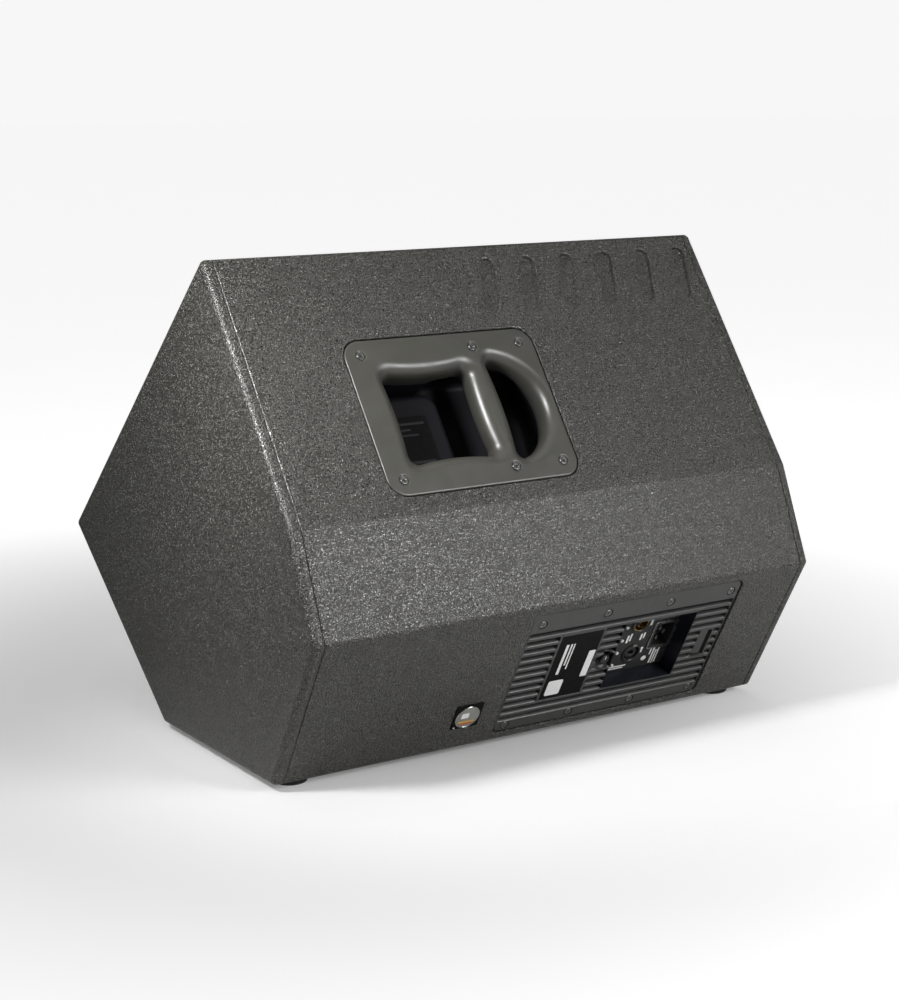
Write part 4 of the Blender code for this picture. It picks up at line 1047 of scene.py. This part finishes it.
def badge():
    xs, ys, (top, _) = REAR.spans("seal_badge")
    body = plate("badge_plate", inset_rect(xs, ys, 2 * MM, 5), top, -0.05 * MM, 0.25 * MM, "label", REAR)
    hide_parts("seal_badge")
    middle = (middle_of(xs), middle_of(ys) + 1 * MM)
    face = top / MM
    raised = face - 0.3
    disc = [(0, raised), (13.4, raised), (14.3, face - 0.1), (14.3, face + 0.2), (0, face + 0.2)]
    turned("badge_disc", disc, "badge_grey", at(REAR, *middle), 64, "gloss_label")
    rim = [(14.3, face - 0.5), (13.7, face - 0.5), (13.5, face - 0.2), (14.5, face - 0.2)]
    turned("badge_rim", rim, "nickel", at(REAR, *middle), 64, "gloss_label")
    x, y = in_mm(middle)
    right, foot = xs[0] / MM, ys[1] / MM
    bar("badge_band_amber", (x - 10, x + 10), (y + 5.2, y + 7.4), raised, "badge_amber", 0.3)
    bar("badge_band_red", (x - 8.5, x + 8.5), (y + 7.8, y + 9.8), raised, "badge_red", 0.3)
    bar("badge_block", (x - 8, x + 1), (y - 6, y + 1), raised, "print", 0.8)
    bar("badge_corner_mark", (right + 2.6, right + 4.6), (foot - 3.2, foot - 1.4), face, "print", 0.8)


# ---------------- grille and feet


def grille_sheet(xs, ys, front, back):
    """Vertices and faces of a sheet made of hexagonal cells, each with a hexagonal hole."""
    pitch, border, hole = 8 * MM, 9 * MM, 0.78
    row = pitch * math.sqrt(3) / 2
    radius = pitch / math.sqrt(3)
    verts, faces, known, edges = [], [], {}, {}

    def vertex(x, y, z):
        key = (round(x * 1e6), round(y * 1e6), round(z * 1e6))
        if key not in known:
            known[key] = len(verts)
            verts.append((x, y, z))
        return known[key]

    def hexagon_at(x, y, reach):
        turns = [math.radians(30 + 60 * k) for k in range(6)]
        return [(x + reach * math.cos(t), y + reach * math.sin(t)) for t in turns]

    cells = []
    for r in range(int((ys[1] - ys[0] - 2 * border) / row) + 1):
        for c in range(int((xs[1] - xs[0] - 2 * border) / pitch) + 1):
            x = xs[0] + border + c * pitch + (pitch / 2 if r % 2 else 0)
            if x <= xs[1] - border:
                cells.append((x, ys[0] + border + r * row))
    for x, y in cells:
        outer, inner = hexagon_at(x, y, radius), hexagon_at(x, y, radius * hole)
        for k in range(6):
            following = (k + 1) % 6
            corners = (outer[k], outer[following], inner[following], inner[k])
            top = [vertex(*p, front) for p in corners]
            under = [vertex(*p, back) for p in corners]
            faces.append((top[0], top[3], top[2], top[1]))
            faces.append(tuple(under))
            faces.append((top[3], under[3], under[2], top[2]))
            key = tuple(sorted((top[0], top[1])))
            edges.setdefault(key, []).append((top[0], top[1], under[1], under[0]))
    faces += [sides[0] for sides in edges.values() if len(sides) == 1]
    return verts, faces


def grille():
    """Perforated steel in a folded frame."""
    xs, ys, (top, bottom) = BAFFLE.spans("grille")
    sheet = new_piece("grille_sheet", *grille_sheet(xs, ys, top + 0.1 * MM, top + 1.4 * MM), "grille",
                      BAFFLE.matrix, 30, False)
    outward(sheet.data)
    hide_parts("grille")
    rings = []
    section = ((13, top, 3), (1.2, top, 6), (0.35, top + 0.35 * MM, 6), (0, top + 1.2 * MM, 6),
               (0, bottom, 6), (1.4, bottom, 6), (1.4, top + 1.6 * MM, 6), (13, top + 1.6 * MM, 3))
    for inset, depth, radius in section:
        outline = rounded_rect(grown(xs, -inset * MM), grown(ys, -inset * MM), radius * MM, 6)
        rings.append(level(outline, depth))
    hollow("grille_frame", rings, "grille", BAFFLE, 35, weld=1e-7)


def feet():
    for node in ("foot_rear_left", "foot_front_left", "foot_rear_right", "foot_front_right"):
        low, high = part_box(node)
        radius, height = (high.x - low.x) / 2 / MM, high.z / MM
        centre = Matrix.Translation(((low.x + high.x) / 2, (low.y + high.y) / 2, 0))
        ring = [(3.2, height - 3.5), (5.0, height - 3.5), (6.0, 0.6), (6.6, 0), (radius - 3.2, 0),
                (radius - 1.9, 0.5), (radius - 1.2, 1.6), (radius, height - 0.4), (radius, height),
                (3.2, height)]
        foot = turned(f"{node}_rubber", ring, "rubber", centre, 56, "rubber", 30)
        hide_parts(node)
        head = [(0, height - 4.6), (2.6, height - 4.5), (4.2, height - 3.9), (4.2, height - 3.52),
                (0, height - 3.52)]
        turned(f"{node}_screw", head, "screw", centre, 32, "screw_steel", 30)


# ---------------- finish of the CAD pieces that stay


CAD_LOOKS = {
    "panel": ["connector_panel"],
    "lens": ["light_pipe"],
    "foam": ["grille_foam", "woofer_spider"],
    "wood": ["baffle"],
    "ferrite": ["woofer_magnet", "hf_driver"],
    "zinc": ["woofer_yoke", "gain_pot"],
    "paper": ["woofer_cone", "dust_cap"],
    "rubber": ["woofer_surround"],
    "copper": ["voice_coil"],
    "grille": ["woofer_frame"],
    "plastic": ["horn", "hf_cover", "port_tube_lower", "port_tube_upper", "woofer_lead", "hf_lead"],
    "sheet": ["amp_housing", "power_supply", "hf_diaphragm"],
    "board": ["circuit_board"],
}


def finish_cad_pieces():
    for look, names in CAD_LOOKS.items():
        for name in names:
            NODES[name].data.materials.clear()
            NODES[name].data.materials.append(LOOKS[look])


# ---------------- stage, light and camera


AMBIENT = 0.06
OVERHEAD = 0.7
WHITE = 0.93
PALE = 0.72
FLOOR_REACH = 60.0
GLOW_START, GLOW_END = 0.2, 1.1
GLOW_LEAST = 0.12
# The light that an open floor gives back from the overhead light and the world.
FLOOR_LIGHT = PALE * (OVERHEAD / math.pi + AMBIENT)
LIGHTS = (   # name, place, target, size, power in watts, spread in degrees
    ("left_light", (-0.90, -0.30, 0.85), (-0.31, -0.15, 0.40), (0.2, 0.2), 1.7, 55),
    ("right_light", (1.12, -2.32, 1.31), (0, 0, 0.28), (1.1, 0.9), 50, 180),
    ("back_light", (0.6, 1.9, 1.9), (0, 0, 0.28), (1.6, 1.0), 2, 180),
)


def add_area(name, place, target, size, power, spread):
    light = bpy.data.lights.new(name, "AREA")
    light.shape = "RECTANGLE"
    light.size, light.size_y = size
    light.energy = power
    light.spread = math.radians(spread)
    item = add(name, light)
    item.location = place
    item.rotation_euler = (Vector(target) - Vector(place)).to_track_quat("-Z", "Y").to_euler()
    item.visible_camera = False


def floor():
    """A pale floor that the camera sees glow away from the object, so that it fades into the world."""
    mesh = bpy.data.meshes.new("floor")
    corners = [(x * FLOOR_REACH, y * FLOOR_REACH, 0) for x, y in ((-1, -1), (1, -1), (1, 1), (-1, 1))]
    mesh.from_pydata(corners, [], [(0, 1, 2, 3)])
    look = Look("pale_floor", (PALE, PALE, PALE), 0.8)
    look.tint(look.spread(400), 0.985, 1.01)
    look.bump(look.noise(4), 0.02, 0.2)
    distance = look.node("VectorMath", {0: look.place}, operation="LENGTH").outputs["Value"]
    far = look.remap(distance, GLOW_START, GLOW_END, GLOW_LEAST, WHITE - FLOOR_LIGHT)
    seen = look.node("LightPath").outputs["Is Camera Ray"]
    glow = look.node("Math", {0: far, 1: seen}, operation="MULTIPLY")
    look.shader.inputs["Emission Color"].default_value = (1, 1, 1, 1)
    look.drive("Emission Strength", glow.outputs["Value"])
    mesh.materials.append(look.material)
    add("studio_floor", mesh)


def stage():
    floor()
    world = bpy.data.worlds.new("studio")
    bpy.context.scene.world = world
    world.use_nodes = True
    tree = world.node_tree
    background = tree.nodes["Background"]
    background.inputs["Color"].default_value = (1, 1, 1, 1)
    seen = new_node(tree, "LightPath").outputs["Is Camera Ray"]
    strength = new_node(tree, "MapRange", {"Value": seen}, {"To Min": AMBIENT, "To Max": WHITE})
    tree.links.new(strength.outputs["Result"], background.inputs["Strength"])

    overhead = bpy.data.lights.new("overhead_light", "SUN")
    overhead.energy = OVERHEAD
    overhead.angle = math.radians(70)
    add("overhead_light", overhead).visible_camera = False
    for light in LIGHTS:
        add_area(*light)


def camera():
    data = bpy.data.cameras.new("camera")
    data.lens = 71.27
    data.sensor_width = 36
    data.clip_end = 200
    item = add("camera", data)
    item.location = (-1.17334, -1.82896, 0.66599)
    item.rotation_euler = [math.radians(a) for a in (78.5913, 0.2973, -33.2594)]
    bpy.context.scene.camera = item


camera()
cabinet_wrap()
end_board("end_board_left", "end_panel_left", -HALF, -HALF + END_BOARD)
end_board("end_board_right", "end_panel_right", HALF, HALF - END_BOARD)
handle()
screws()
ribbed_plate()
link_socket()
input_socket()
mains_inlet()
gain_knob()
prints()
labels()
badge()
grille()
feet()
finish_cad_pieces()
stage()
